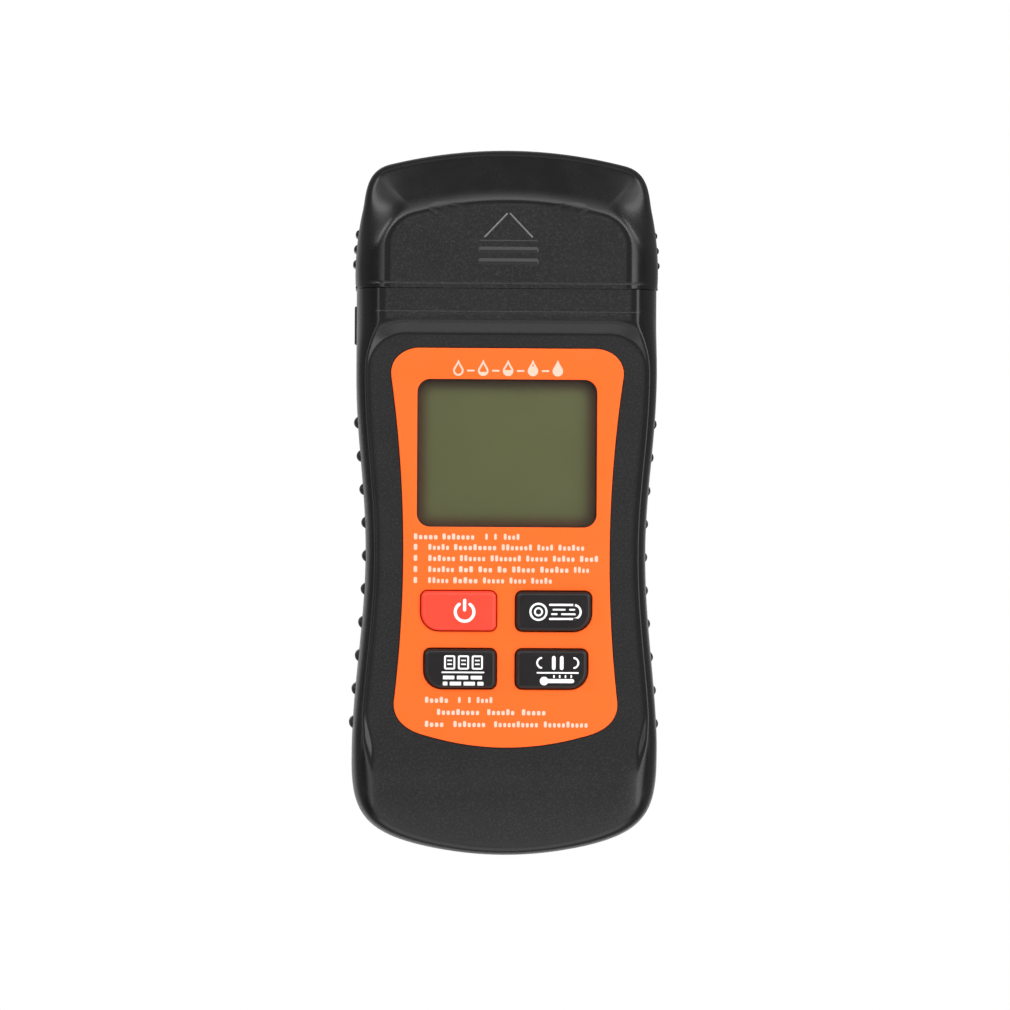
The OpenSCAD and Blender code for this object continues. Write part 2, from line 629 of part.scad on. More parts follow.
front_housing();
rear_housing();
pin_cap();
battery_door();
grip(-1);  // left_grip
grip(1);  // right_grip
faceplate();
display_lens();
housing_screws();
key(0, red);  // power_button
key(1, black);  // wood_button
key(2, black);  // paper_wall_button
key(3, black);  // hold_button
plunger(0);  // power_plunger
plunger(1);  // wood_plunger
plunger(2);  // paper_wall_plunger
plunger(3);  // hold_plunger
tact_switches();
lcd_glass();
lcd_reflector();
lcd_holder();
zebra_strips();
main_pcb();
controller_chip();
amplifier_chip();
crystal();
smd_parts();
buzzer();
temperature_sensor();
pcb_screws();
test_pin(-1);  // left_pin
test_pin(1);  // right_pin
pin_nuts();
pin_sockets();
socket_contacts();
battery_cell(0);  // battery_cell_1
battery_cell(1);  // battery_cell_2
battery_cell(2);  // battery_cell_3
battery_springs();
battery_plates();
battery_lead_red();
battery_lead_black();
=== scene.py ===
# Two-pin moisture meter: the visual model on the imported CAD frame, with its floor, lights and camera.
# Sizes of the meter are millimetres, and become metres where meshes are made. Materials, floor, lights and
# camera are in metres.
import math

import bmesh
import bpy
import numpy as np
from mathutils import Euler, Matrix, Vector


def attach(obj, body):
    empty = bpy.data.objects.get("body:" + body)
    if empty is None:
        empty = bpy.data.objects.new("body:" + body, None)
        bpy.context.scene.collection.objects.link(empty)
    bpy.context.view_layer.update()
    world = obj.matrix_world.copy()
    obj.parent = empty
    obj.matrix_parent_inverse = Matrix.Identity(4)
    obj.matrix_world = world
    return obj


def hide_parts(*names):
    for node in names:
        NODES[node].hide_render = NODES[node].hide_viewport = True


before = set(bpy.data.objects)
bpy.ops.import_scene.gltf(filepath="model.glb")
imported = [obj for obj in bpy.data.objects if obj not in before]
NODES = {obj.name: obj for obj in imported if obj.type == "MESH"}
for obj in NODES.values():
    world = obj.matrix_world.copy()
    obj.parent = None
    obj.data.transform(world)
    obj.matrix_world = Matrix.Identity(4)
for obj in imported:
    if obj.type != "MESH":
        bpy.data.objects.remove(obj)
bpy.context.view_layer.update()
MM = 0.001
FINE_WELD = 2e-7

# ---- Driving sizes, the same as in the CAD model ----

CROWN_Y, TAIL_Y = 70.5, -70.5
MOUTH_Y, DECK_Y = 42.6, 40.0
SPLIT_Z, FACE_Z, NECK_Z = 11.0, 24.8, 26.6
PLATE_Z, POCKET_Z, WALL_UNDER_Z = 25.1, 24.2, 22.8
WAIST_Y, WAIST_HALF = -10.0, 27.9
HIP_END_Y, HIP_EASE = -52.0, 10.2
TAIL_ARC_X, TAIL_EASE, TAIL_R = 15.5, 12.0, 72.0
CAP_HALF, CAP_WIDEST_Y, CAP_SIDE_R = 30.3, 46.0, 57.0
CAP_CORNER_Y, CORNER_EASE = 58.5, 2.9
CROWN_ARC_X, CROWN_EASE, CROWN_R = 23.5, 5.1, 95.0
WINDOW_Y, WINDOW_W, WINDOW_H = 9.9, 35.8, 29.4
KEY_TOP_Z, FLANGE_Z, FLANGE_TOP_Z = 26.2, 21.7, 22.7
KEYS = [(-9.45, -21.5, 14.7), (9.45, -21.5, 14.7), (-9.1, -33.0, 14.0), (9.1, -33.0, 14.0)]
KEY_H, KEY_GAP = 7.6, 0.3
CASE_SCREWS = [(23, 33), (-23, 33), (23.6, -52), (-23.6, -52)]
PCB_SCREWS = [(14.5, 37.5), (-14.5, 37.5), (21.3, -42), (-21.3, -42)]
PIN_X = 12.5
SIDES = ((-1, "left"), (1, "right"))
CELL_R, CELL_Z, CELL_PITCH, CELL_CAN, CELL_GAP = 5.25, 7.85, 10.9, 43.5, 1.3
BAY_HALF, BAY_LOW_Y, BAY_HIGH_Y = 16.65, -58.0, -8.7


def ease(t):
    return (1 - np.cos(np.pi * np.clip(t, 0, 1))) / 2


def smooth(t):
    t = np.clip(t, 0, 1)
    return t * t * (3 - 2 * t)


def soft_min(a, b, k):
    """The lower of two heights, blended where they are within k of each other."""
    h = np.clip(0.5 + 0.5 * (b - a) / k, 0, 1)
    return b + (a - b) * h - k * h * (1 - h)


def groove(distance, width, depth):
    """How deep a fine moulded line is at a distance from its middle."""
    return depth * np.exp(-(distance / width) ** 2)


def case_half(y):
    """Half width of the case at y, narrowest at the waist."""
    y = np.asarray(y, float)
    return WAIST_HALF + np.where(y > WAIST_Y, 2.1 * ease((y - WAIST_Y) / 36), 2.6 * ease((WAIST_Y - y) / 42))


def case_x(y):
    return float(case_half(y))


def cap_side(y):
    return CAP_HALF - (np.asarray(y, float) - CAP_WIDEST_Y) ** 2 / (2 * CAP_SIDE_R)


def plate_half(y):
    return 20.55 + (y + 10.6) ** 2 / 494


def shallow_arc(half, y, r, n):
    """Points of an arc of radius r from x = half to the centre line, where it is at y."""
    xs = [half * (1 - i / n) for i in range(n + 1)]
    return [(x, y + x ** 2 / (2 * r)) for x in xs]


def bezier(a, b, c, d, n, first=1):
    """Points first to n of a cubic curve."""
    a, b, c, d = map(np.array, (a, b, c, d))
    out = []
    for i in range(first, n + 1):
        t = i / n
        u = 1 - t
        out.append(tuple(u ** 3 * a + 3 * u * u * t * b + 3 * u * t * t * c + t ** 3 * d))
    return out


def arc(cx, cy, r, start, end, n):
    return [(cx + r * math.cos(math.radians(start + (end - start) * i / n)),
             cy + r * math.sin(math.radians(start + (end - start) * i / n))) for i in range(n + 1)]


def whole(half):
    """A right-hand half outline, from its top to its bottom, closed across the centre line."""
    return list(half) + [(-x, y) for x, y in reversed(half) if x > 1e-6]


def span(start, end, step):
    """Even steps from start up to but not including end."""
    n = max(1, round(abs(end - start) / step))
    return [start + (end - start) * i / n for i in range(n)]


# ---- Mesh helpers ----

def linked(name, data):
    obj = bpy.data.objects.new(name, data)
    bpy.context.scene.collection.objects.link(obj)
    return obj


def evaluated_mesh(obj):
    graph = bpy.context.evaluated_depsgraph_get()
    return bpy.data.meshes.new_from_object(obj.evaluated_get(graph), depsgraph=graph)


def mesh_object(name, verts, faces):
    mesh = bpy.data.meshes.new(name)
    mesh.from_pydata([tuple(float(c) * MM for c in v) for v in verts], [], faces)
    return linked(name, mesh)


def tidy(obj, weld=1e-6, thin=None):
    """Welds coincident points, takes out faces thinner than thin and turns every face outwards."""
    bm = bmesh.new()
    bm.from_mesh(obj.data)
    bmesh.ops.remove_doubles(bm, verts=bm.verts, dist=weld)
    if thin:
        bmesh.ops.dissolve_degenerate(bm, edges=bm.edges, dist=thin)
    bmesh.ops.recalc_face_normals(bm, faces=bm.faces)
    bm.to_mesh(obj.data)
    bm.free()
    return obj


def ring_faces(count, n):
    """The faces between count rings of n points each."""
    return [[k * n + i, k * n + (i + 1) % n, (k + 1) * n + (i + 1) % n, (k + 1) * n + i]
            for k in range(count - 1) for i in range(n)]


def ring_solid(name, verts, n, **more):
    """Closed solid of rings of n points each, with a flat face at both ends."""
    ends = [list(range(n))[::-1], list(range(len(verts) - n, len(verts)))]
    return tidy(mesh_object(name, verts, ends + ring_faces(len(verts) // n, n)), **more)


def prism(points, low, high):
    return ring_solid("prism", [(x, y, z) for z in (low, high) for x, y in points], len(points))


def box(low, high):
    (a, b, c), (d, e, f) = low, high
    return prism([(a, b), (d, b), (d, e), (a, e)], c, f)


def bar_y(half, low_y, high_y):
    """Prism along Y of a symmetric [x, z] profile, given as its right-hand half from bottom to top."""
    points = list(half) + [(-x, z) for x, z in reversed(half)]
    n = len(points)
    verts = [(x, y, z) for y in (low_y, high_y) for x, z in points]
    return tidy(mesh_object("bar", verts, [list(range(n)), list(range(n, 2 * n))[::-1]] + ring_faces(2, n)))


def turned(profile, at, axis="z", sides=48, name="turned", closed=False):
    """Solid of revolution of [radius, height] points. A radius of 0 is a pole."""
    verts, rows = [], []
    for r, h in profile:
        if r < 1e-9:
            rows.append([len(verts)])
            verts.append((0, 0, h))
        else:
            rows.append(list(range(len(verts), len(verts) + sides)))
            verts += [(r * math.cos(2 * math.pi * k / sides), r * math.sin(2 * math.pi * k / sides), h)
                      for k in range(sides)]
    pairs = list(zip(rows, rows[1:])) + ([(rows[-1], rows[0])] if closed else [])
    faces = []
    for a, b in pairs:
        for k in range(sides):
            m = (k + 1) % sides
            corners = a[k % len(a)], a[m % len(a)], b[m % len(b)], b[k % len(b)]
            face = list(dict.fromkeys(corners))
            if len(face) > 2:
                faces.append(face)
    if axis == "y":
        verts = [(x, z, -y) for x, y, z in verts]
    elif axis == "-y":
        verts = [(x, -z, y) for x, y, z in verts]
    verts = [(x + at[0], y + at[1], z + at[2]) for x, y, z in verts]
    return tidy(mesh_object(name, verts, faces))


def rod(at, r, low, high):
    return turned([(0, low), (r, low), (r, high), (0, high)], (*at, 0))


def pin_turned(profile, side, sides=48, **more):
    """Solid of revolution about the axis of the left or the right pin."""
    return turned(profile, (side * PIN_X, 0, SPLIT_Z), "y", sides, **more)


def pin_rod(side, r, low_y, high_y, sides=48):
    return pin_turned([(0, low_y), (r, low_y), (r, high_y), (0, high_y)], side, sides)


def applied(obj):
    mesh = evaluated_mesh(obj)
    obj.modifiers.clear()
    obj.data = mesh
    return obj


def cuts(*tools):
    return [("-", tool) for tool in tools]


def joins(*tools):
    return [("+", tool) for tool in tools]


def overlap(tool):
    return [("*", tool)]


def carve(obj, steps):
    """Takes each step of cuts, joins and overlap in turn, and removes their solids."""
    operations = {"+": "UNION", "-": "DIFFERENCE", "*": "INTERSECT"}
    for sign, tool in steps:
        mod = obj.modifiers.new("cut", "BOOLEAN")
        mod.operation = operations[sign]
        mod.solver = "MANIFOLD"
        mod.object = tool
    applied(obj)
    for _, tool in steps:
        bpy.data.objects.remove(tool)
    return obj


def merged(name, objs):
    """One object out of several, without joining their surfaces."""
    bm = bmesh.new()
    for o in objs:
        bm.from_mesh(o.data)
        bpy.data.objects.remove(o)
    mesh = bpy.data.meshes.new(name)
    bm.to_mesh(mesh)
    bm.free()
    return linked(name, mesh)


def shade(obj, angle=35):
    for p in obj.data.polygons:
        p.use_smooth = True
    obj.data.set_sharp_from_angle(angle=math.radians(angle))
    return obj


def soften(obj, width, segments, angle):
    """Rounds the edges of a piece that turn by more than angle degrees."""
    mod = obj.modifiers.new("edges", "BEVEL")
    mod.width = width * MM
    mod.segments = segments
    mod.limit_method = "ANGLE"
    mod.angle_limit = math.radians(angle)
    return obj


def eased(obj, width, segments, angle=60):
    """The same, taken into the mesh at once."""
    return applied(soften(obj, width, segments, angle))


def curve_mesh(curve):
    temp = linked("temp", curve)
    mesh = evaluated_mesh(temp)
    bpy.data.objects.remove(temp)
    return mesh


def sheet(name, loops, low, high, edge=0.0, resolution=3):
    """Flat plate with any number of outlines and holes, and round edges."""
    curve = bpy.data.curves.new(name, "CURVE")
    curve.dimensions = "2D"
    curve.fill_mode = "BOTH"
    for loop in loops:
        spline = curve.splines.new("POLY")
        spline.points.add(len(loop) - 1)
        for p, (x, y) in zip(spline.points, loop):
            p.co = (x * MM, y * MM, 0, 1)
        spline.use_cyclic_u = True
    curve.extrude = ((high - low) / 2 - edge) * MM
    curve.bevel_depth = edge * MM
    curve.bevel_resolution = resolution
    curve.offset = -edge * MM
    mesh = curve_mesh(curve)
    mesh.transform(Matrix.Translation((0, 0, (low + high) / 2 * MM)))
    return tidy(linked(name, mesh), FINE_WELD)


def put(obj, body, material, node=None):
    """Gives a piece its material and its body, and hides the CAD node it stands for."""
    obj.data.materials.clear()
    obj.data.materials.append(material)
    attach(obj, body)
    if node:
        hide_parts(node)


def attribute(obj, name, values):
    layer = obj.data.attributes.new(name, "FLOAT", "POINT")
    layer.data.foreach_set("value", np.asarray(values, np.float32))


def coords(obj):
    """Places of the points of a piece, in millimetres."""
    co = np.empty(len(obj.data.vertices) * 3)
    obj.data.vertices.foreach_get("co", co)
    return co.reshape(-1, 3) / MM


# ---- Materials ----

class Nodes:
    """Short names for building one material's node tree."""

    def __init__(self, name):
        self.material = bpy.data.materials.new(name)
        self.material.use_nodes = True
        self.tree = self.material.node_tree
        self.shader = self.tree.nodes["Principled BSDF"]
        self.place = self.add("ShaderNodeTexCoord").outputs["Object"]

    def add(self, kind, **values):
        node = self.tree.nodes.new(kind)
        for key, value in values.items():
            setattr(node, key, value)
        return node

    def link(self, a, b):
        self.tree.links.new(a, b)

    def feed(self, socket, value):
        """Links a socket, or sets a number or an [r, g, b] colour."""
        if hasattr(value, "links"):
            self.link(value, socket)
        else:
            socket.default_value = (*value, 1) if isinstance(value, tuple) else value

    def math(self, operation, a, b=0.0, clamp=False):
        node = self.add("ShaderNodeMath", operation=operation, use_clamp=clamp)
        self.feed(node.inputs[0], a)
        self.feed(node.inputs[1], b)
        return node.outputs[0]

    def noise(self, scale, detail=2.0, rough=0.5, vector=None):
        node = self.add("ShaderNodeTexNoise")
        node.inputs["Scale"].default_value = scale
        node.inputs["Detail"].default_value = detail
        node.inputs["Roughness"].default_value = rough
        self.link(vector or self.place, node.inputs["Vector"])
        return node.outputs["Fac"]

    def specks(self, scale, size, patches, least):
        """Small round specks, in patches where a coarser noise is over least."""
        node = self.add("ShaderNodeTexVoronoi")
        node.inputs["Scale"].default_value = scale
        self.link(self.place, node.inputs["Vector"])
        dots = self.ramp(node.outputs["Distance"], size, 0.02)
        return self.math("MULTIPLY", dots, self.ramp(self.noise(patches, 1), least, 0.7))

    def xyz(self):
        node = self.add("ShaderNodeSeparateXYZ")
        self.link(self.place, node.inputs[0])
        return node.outputs

    def stretched(self, x, y, z, shift=(0, 0, 0)):
        node = self.add("ShaderNodeMapping")
        node.inputs["Scale"].default_value = (x, y, z)
        node.inputs["Location"].default_value = shift
        self.link(self.place, node.inputs["Vector"])
        return node.outputs["Vector"]

    def ramp(self, value, low, high, to_low=0.0, to_high=1.0):
        node = self.add("ShaderNodeMapRange", interpolation_type="SMOOTHSTEP")
        self.feed(node.inputs["Value"], value)
        for key, number in (("From Min", low), ("From Max", high), ("To Min", to_low), ("To Max", to_high)):
            node.inputs[key].default_value = number
        return node.outputs["Result"]

    def uneven(self, scale, detail, low, high, rough=0.5):
        """A value that wanders between low and high."""
        return self.ramp(self.noise(scale, detail, rough), 0.3, 0.7, low, high)

    def mix(self, factor, a, b):
        node = self.add("ShaderNodeMix", data_type="RGBA")
        self.feed(node.inputs["Factor"], factor)
        self.feed(node.inputs[6], a)
        self.feed(node.inputs[7], b)
        return node.outputs[2]

    def bump(self, height, distance, strength=1.0, normal=None):
        node = self.add("ShaderNodeBump")
        node.inputs["Distance"].default_value = distance
        self.feed(node.inputs["Strength"], strength)
        self.link(height, node.inputs["Height"])
        if normal:
            self.link(normal, node.inputs["Normal"])
        return node.outputs["Normal"]

    def attribute(self, name):
        return self.add("ShaderNodeAttribute", attribute_name=name).outputs["Fac"]

    def set(self, **values):
        names = {"color": "Base Color", "rough": "Roughness", "metal": "Metallic", "normal": "Normal",
                 "specular": "Specular IOR Level", "ior": "IOR", "alpha": "Alpha", "coat": "Coat Weight",
                 "coat_rough": "Coat Roughness"}
        for key, value in values.items():
            self.feed(self.shader.inputs[names[key]], value)
        return self.material


def times(color, factor):
    return tuple(min(1, c * factor) for c in color)


def black_plastic(name, tint, smooth_rough, grain_rough):
    """Moulded black ABS, spark textured where the mesh's grain attribute is 1 and polished where it is 0,
    with painted sparkle highlights on the texture's peaks.
    """
    n = Nodes(name)
    grain = n.attribute("grain")
    fine = n.noise(2100, 3, 0.62)
    coarse = n.noise(900, 2, 0.5)
    height = n.math("ADD", fine, n.math("MULTIPLY", coarse, 0.45))
    texture = n.bump(height, 0.00009, n.math("MULTIPLY", grain, 0.42))
    ripple = n.bump(n.noise(60, 1), 0.0004, 0.06, texture)
    cloud = n.noise(45, 3, 0.55)
    base = n.mix(cloud, times(tint, 0.82), times(tint, 1.22))
    # Painted highlight: the peaks of the spark texture are lightened, as sparkle where they would catch the
    # light.
    painted_sparkle = n.math("MULTIPLY", n.ramp(n.noise(2500, 3, 0.7), 0.47, 0.66), grain)
    base = n.mix(n.math("MULTIPLY", painted_sparkle, 0.8), base, times(tint, 3.7))
    base = n.mix(n.math("MULTIPLY", n.specks(420, 0.045, 130, 0.55), 0.35), base, (0.16, 0.155, 0.15))
    rough = n.math("ADD", n.math("MULTIPLY", grain, grain_rough - smooth_rough), smooth_rough)
    rough = n.math("ADD", rough, n.uneven(160, 4, -0.015, 0.02, 0.6), clamp=True)
    return n.set(color=base, rough=rough, normal=ripple, specular=0.38)


def moulded(name, color, rough, scale, depth, strength, variation, specular=0.5):
    """Plain moulded plastic or rubber with a fine surface and slight unevenness of colour."""
    n = Nodes(name)
    cloud = n.noise(70, 3, 0.55)
    base = n.mix(cloud, times(color, 1 - variation), times(color, 1 + variation))
    normal = n.bump(n.noise(scale, 3, 0.6), depth, strength)
    return n.set(color=base, rough=n.uneven(220, 3, rough - 0.04, rough + 0.05, 0.6), normal=normal,
                 specular=specular)


def metal(name, color, rough, brushed, scale, strength):
    n = Nodes(name)
    lines = n.noise(scale, 4, 0.65, n.stretched(*brushed))
    stain = n.noise(140, 3, 0.6)
    base = n.mix(stain, times(color, 0.86), times(color, 1.05))
    roughness = n.ramp(lines, 0.25, 0.75, rough - 0.06, rough + 0.1)
    return n.set(color=base, rough=roughness, metal=1.0, normal=n.bump(lines, 0.00002, strength))


HOUSING = black_plastic("housing_black_abs", (0.0058, 0.0055, 0.0059), 0.26, 0.43)
GRIP = moulded("grip_black_rubber", (0.0095, 0.0092, 0.0095), 0.42, 3200, 0.00005, 0.3, 0.12, 0.3)
ORANGE = moulded("plate_orange", (0.95, 0.128, 0.016), 0.42, 3400, 0.00002, 0.14, 0.02, 0.25)
RED_KEY = moulded("key_red", (0.92, 0.055, 0.03), 0.38, 2600, 0.00003, 0.2, 0.04, 0.3)
BLACK_KEY = moulded("key_black", (0.011, 0.0095, 0.0098), 0.36, 2600, 0.00004, 0.22, 0.1, 0.28)
PRINT = moulded("print_pale", (0.92, 0.5, 0.39), 0.5, 3000, 0.00001, 0.1, 0.04, 0.3)
KEY_PRINT = moulded("print_white", (0.9, 0.9, 0.9), 0.45, 3000, 0.00001, 0.1, 0.03, 0.3)
# Pale grey for the cap's arrow beads: a painted highlight that stands for the light their round black backs
# catch.
ARROW_HIGHLIGHT_GREY = moulded("arrow_painted_highlight", (0.14, 0.137, 0.135), 0.3, 2500, 0.00002, 0.2, 0.1, 0.6)
STEEL = metal("bright_steel", (0.72, 0.73, 0.75), 0.2, (1, 0.15, 1), 1400, 0.1)
ZINC = metal("zinc_steel", (0.55, 0.56, 0.58), 0.3, (1, 1, 1), 1200, 0.2)
BRASS = metal("plain_brass", (0.78, 0.57, 0.24), 0.26, (1, 0.3, 1), 1100, 0.14)
TIN = metal("tinned_steel", (0.74, 0.74, 0.73), 0.24, (1, 1, 0.2), 900, 0.12)
NYLON = moulded("white_nylon", (0.72, 0.71, 0.67), 0.45, 1800, 0.00005, 0.25, 0.05, 0.45)
WHITE_ABS = moulded("white_abs", (0.74, 0.74, 0.71), 0.4, 2000, 0.00004, 0.2, 0.05)
EPOXY = moulded("black_epoxy", (0.016, 0.016, 0.017), 0.5, 2200, 0.00006, 0.4, 0.15, 0.4)
CERAMIC = moulded("tan_ceramic", (0.46, 0.36, 0.24), 0.35, 1800, 0.00003, 0.2, 0.18, 0.5)
RED_WIRE = moulded("red_pvc", (0.55, 0.02, 0.018), 0.35, 1500, 0.00003, 0.2, 0.08)
BLACK_WIRE = moulded("black_pvc", (0.018, 0.018, 0.018), 0.35, 1500, 0.00003, 0.2, 0.1)


def lcd_material():
    """Blank display: grey-green polariser, with painted shade and a painted brown reflection of the orange
    plate near the window's edge, darkest along its top.
    """
    n = Nodes("lcd_polariser")
    x, y, _ = n.xyz()
    side = n.math("SUBTRACT", WINDOW_W / 2 * MM, n.math("ABSOLUTE", x))
    up = n.math("SUBTRACT", (WINDOW_Y + WINDOW_H / 2) * MM, y)
    down = n.math("SUBTRACT", y, (WINDOW_Y - WINDOW_H / 2) * MM)
    near = n.add("ShaderNodeMath", operation="SMOOTH_MIN")
    n.link(side, near.inputs[0])
    n.link(n.math("MINIMUM", up, down), near.inputs[1])
    near.inputs[2].default_value = 0.0022
    # Painted shade and painted reflection of the orange plate: a brown rim along the window's edge, darker
    # along its top.
    top = n.ramp(up, 0.0, 0.0042, 1.0, 0.0)
    green = n.mix(n.noise(30, 2), (0.07, 0.078, 0.022), (0.08, 0.087, 0.027))
    rim = n.mix(top, (0.062, 0.026, 0.006), (0.034, 0.016, 0.004))
    color = n.mix(n.ramp(near.outputs[0], 0.0001, 0.0032), rim, green)
    color = n.mix(n.math("MULTIPLY", n.specks(260, 0.05, 90, 0.56), 0.25), color, (0.3, 0.3, 0.26))
    return n.set(color=color, rough=n.uneven(300, 2, 0.3, 0.4), specular=0.1,
                 normal=n.bump(n.noise(3000, 2), 0.00001, 0.15))


def lens_material():
    n = Nodes("clear_window")
    smear = n.noise(55, 3, 0.6)
    color = n.mix(smear, (0.2, 0.21, 0.19), (0.3, 0.31, 0.28))
    return n.set(color=color, alpha=0.05, ior=1.49, specular=0.35, rough=n.ramp(smear, 0.3, 0.7, 0.04, 0.12),
                 normal=n.bump(n.noise(40, 1), 0.0002, 0.02))


def board_material():
    """Green solder mask with copper tracks showing through as paler lines."""
    n = Nodes("green_solder_mask")
    across = n.math("ADD", n.xyz()[0], n.math("MULTIPLY", n.noise(60, 0), 0.012))
    track = n.ramp(n.math("PINGPONG", n.math("MULTIPLY", across, 1000.0), 0.9), 0.3, 0.42)
    base = n.mix(track, (0.012, 0.085, 0.03), (0.02, 0.14, 0.05))
    return n.set(color=base, rough=n.uneven(150, 3, 0.22, 0.34), specular=0.5,
                 normal=n.bump(track, 0.00004, 0.5))


def elastomer_material():
    n = Nodes("striped_elastomer")
    wave = n.add("ShaderNodeTexWave", bands_direction="X")
    wave.inputs["Scale"].default_value = 600
    n.link(n.place, wave.inputs["Vector"])
    base = n.mix(n.ramp(wave.outputs["Fac"], 0.4, 0.6), (0.03, 0.03, 0.03), (0.62, 0.28, 0.3))
    return n.set(color=base, rough=n.uneven(400, 2, 0.5, 0.65))


def cell_material():
    """Printed sleeve of a plain dry cell: dark blue with a silver band towards the raised contact."""
    n = Nodes("cell_sleeve")
    band = n.attribute("along")
    blue = n.mix(n.noise(80, 3), (0.016, 0.05, 0.17), (0.022, 0.065, 0.21))
    silver = n.mix(n.noise(600, 2, 0.5, n.stretched(1, 0.1, 1)), (0.5, 0.51, 0.53), (0.66, 0.67, 0.69))
    line = n.math("MULTIPLY", n.ramp(band, 0.665, 0.675), n.ramp(band, 0.70, 0.69))
    color = n.mix(n.ramp(band, 0.735, 0.745), blue, silver)
    color = n.mix(line, color, (0.85, 0.86, 0.88))
    return n.set(color=color, rough=n.uneven(200, 3, 0.22, 0.32), coat=0.4, coat_rough=0.12,
                 normal=n.bump(n.noise(300, 2), 0.00003, 0.15))


LCD, LENS, BOARD = lcd_material(), lens_material(), board_material()
ELASTOMER, CELL = elastomer_material(), cell_material()

# ---- Outlines ----


def tail_points(n_bend=34, n_arc=12):
    """Right-hand side of the tail, from the end of the hip to the centre line."""
    hip = case_x(HIP_END_Y)
    arc_y = TAIL_Y + TAIL_ARC_X ** 2 / (2 * TAIL_R)
    slope = TAIL_ARC_X / TAIL_R
    bend = bezier((hip, HIP_END_Y), (hip + 0.1, HIP_END_Y - HIP_EASE),
                  (TAIL_ARC_X + TAIL_EASE, arc_y + TAIL_EASE * slope), (TAIL_ARC_X, arc_y), n_bend)
    return bend + shallow_arc(TAIL_ARC_X, TAIL_Y, TAIL_R, n_arc)[1:]


def case_outline(ys, n_bend=34, n_arc=12):
    """Right-hand half of the case, from the first of ys down its side."""
    return [(case_x(y), y) for y in [*ys, HIP_END_Y]] + tail_points(n_bend, n_arc)


def cap_outline(ys, n_bend=26, n_arc=12):
    """Right-hand half of the cap, from the middle of its crown down its side."""
    arc_y = CROWN_Y - CROWN_ARC_X ** 2 / (2 * CROWN_R)
    slope = CROWN_ARC_X / CROWN_R
    side_x = float(cap_side(CAP_CORNER_Y))
    lean = (CAP_CORNER_Y - CAP_WIDEST_Y) / CAP_SIDE_R
    crown = shallow_arc(CROWN_ARC_X, CROWN_Y, -CROWN_R, n_arc)[:0:-1]
    bend = bezier((CROWN_ARC_X, arc_y), (CROWN_ARC_X + CROWN_EASE, arc_y - CROWN_EASE * slope),
                  (side_x - CORNER_EASE * lean, CAP_CORNER_Y + CORNER_EASE), (side_x, CAP_CORNER_Y),
                  n_bend, 0)
    return crown + bend + [(cap_edge_x(y), y) for y in ys]


LIP_DROP, LIP_RUN, LIP_LINE_Y = 0.22, 0.28, 43.8


def mouth_drop(y):
    """How far the lip of the cap rounds over towards its mouth, and the fine groove above the lip."""
    y = np.asarray(y, float)
    lip = LIP_DROP * np.clip(1 - (y - MOUTH_Y) / LIP_RUN, 0, 1) ** 2
    return lip + groove(y - LIP_LINE_Y, 0.14, 0.14)


def cap_edge_x(y):
    return float(cap_side(y) - mouth_drop(y))


def inset(points, side, end):
    """Moves each point of a half outline inwards, by side across the case and by end along it."""
    out = []
    for i, p in enumerate(points):
        a, b = points[max(0, i - 1)], points[min(len(points) - 1, i + 1)]
        d = math.hypot(b[0] - a[0], b[1] - a[1])
        nx, ny = -(b[1] - a[1]) / d, (b[0] - a[0]) / d
        out.append((max(0, p[0] - side * nx), p[1] - end * ny))
    return out


def case_inner(side, end):
    """Outline of the room in the case, below the deck."""
    p = inset(case_outline(span(DECK_Y, HIP_END_Y, 4), 10, 5), side, end)
    p[0] = (p[0][0], DECK_Y)
    p[-1] = (0, TAIL_Y + end)
    return whole(p)


def distance_to(points, line):
    """Distance from each point to an open line of points."""
    a, b = line[:-1], line[1:]
    d = b - a
    length = (d ** 2).sum(1)
    best = np.full(len(points), 1e9)
    for start in range(0, len(points), 4000):
        p = points[start:start + 4000, None, :]
        t = np.clip(((p - a) * d).sum(2) / length, 0, 1)
        gap = p - (a + t[..., None] * d)
        best[start:start + 4000] = np.sqrt((gap ** 2).sum(2).min(1))
    return best


# Ends of the line along the case that the spokes run to, and how far in from the outline their points are.
CASE_SPINE = (-45, 46)
RING_STEPS = [0.012, 0.05, 0.11, 0.19, 0.3, 0.43, 0.58, 0.75, 0.95] + [1.15 + 0.22 * i for i in range(55)]


def spokes(outline, spine_low, spine_high):
    """For each point of a whole outline, its place, the direction to the spine and the distance to it."""
    rim = np.array(outline, float)
    hub = np.stack([np.zeros(len(rim)), np.clip(rim[:, 1], spine_low, spine_high)], 1)
    reach = np.linalg.norm(hub - rim, axis=1)
    return rim, (hub - rim) / reach[:, None], reach


def wall_rings(rim, way, walls):
    """Points of the side walls, a ring for each [z, inset] from the bottom up."""
    return np.concatenate([np.column_stack([rim + way * d, np.full(len(rim), z)]) for z, d in walls])


def spoke_solid(name, outline, spine, top, walls, inner=12):
    """Closed solid whose upper side is the height field top(xy), with its points on spokes."""
    rim, way, reach = spokes(outline, *spine)
    tops = [rim + way * d for d in RING_STEPS]
    last = RING_STEPS[-1]
    tops += [rim + way * (last + (reach - last) * i / inner)[:, None] for i in range(1, inner + 1)]
    flat = np.concatenate(tops)
    verts = np.concatenate([wall_rings(rim, way, walls), np.column_stack([flat, top(flat)])])
    n = len(rim)
    faces = [list(range(n))] + ring_faces(len(walls) + len(tops), n)
    return tidy(mesh_object(name, verts, faces), FINE_WELD, 1e-8)


# ---- Front shell ----

PAN_TOP_Y, PAN_R, PAN_RIM = 33.8, 7.5, 2.2
NECK_BEVEL, NECK_START_Y, NECK_LINE_Y = 4.9, 34.2, 38.2
SHOULDER_Z, SHOULDER_W, SHOULDER_DROP = 26.4, 4, 9.4
SIDE_Z, SIDE_R = 20.8, 6
EDGE_LINE = np.array(case_outline(span(80, HIP_END_Y, 0.8), 60, 24))


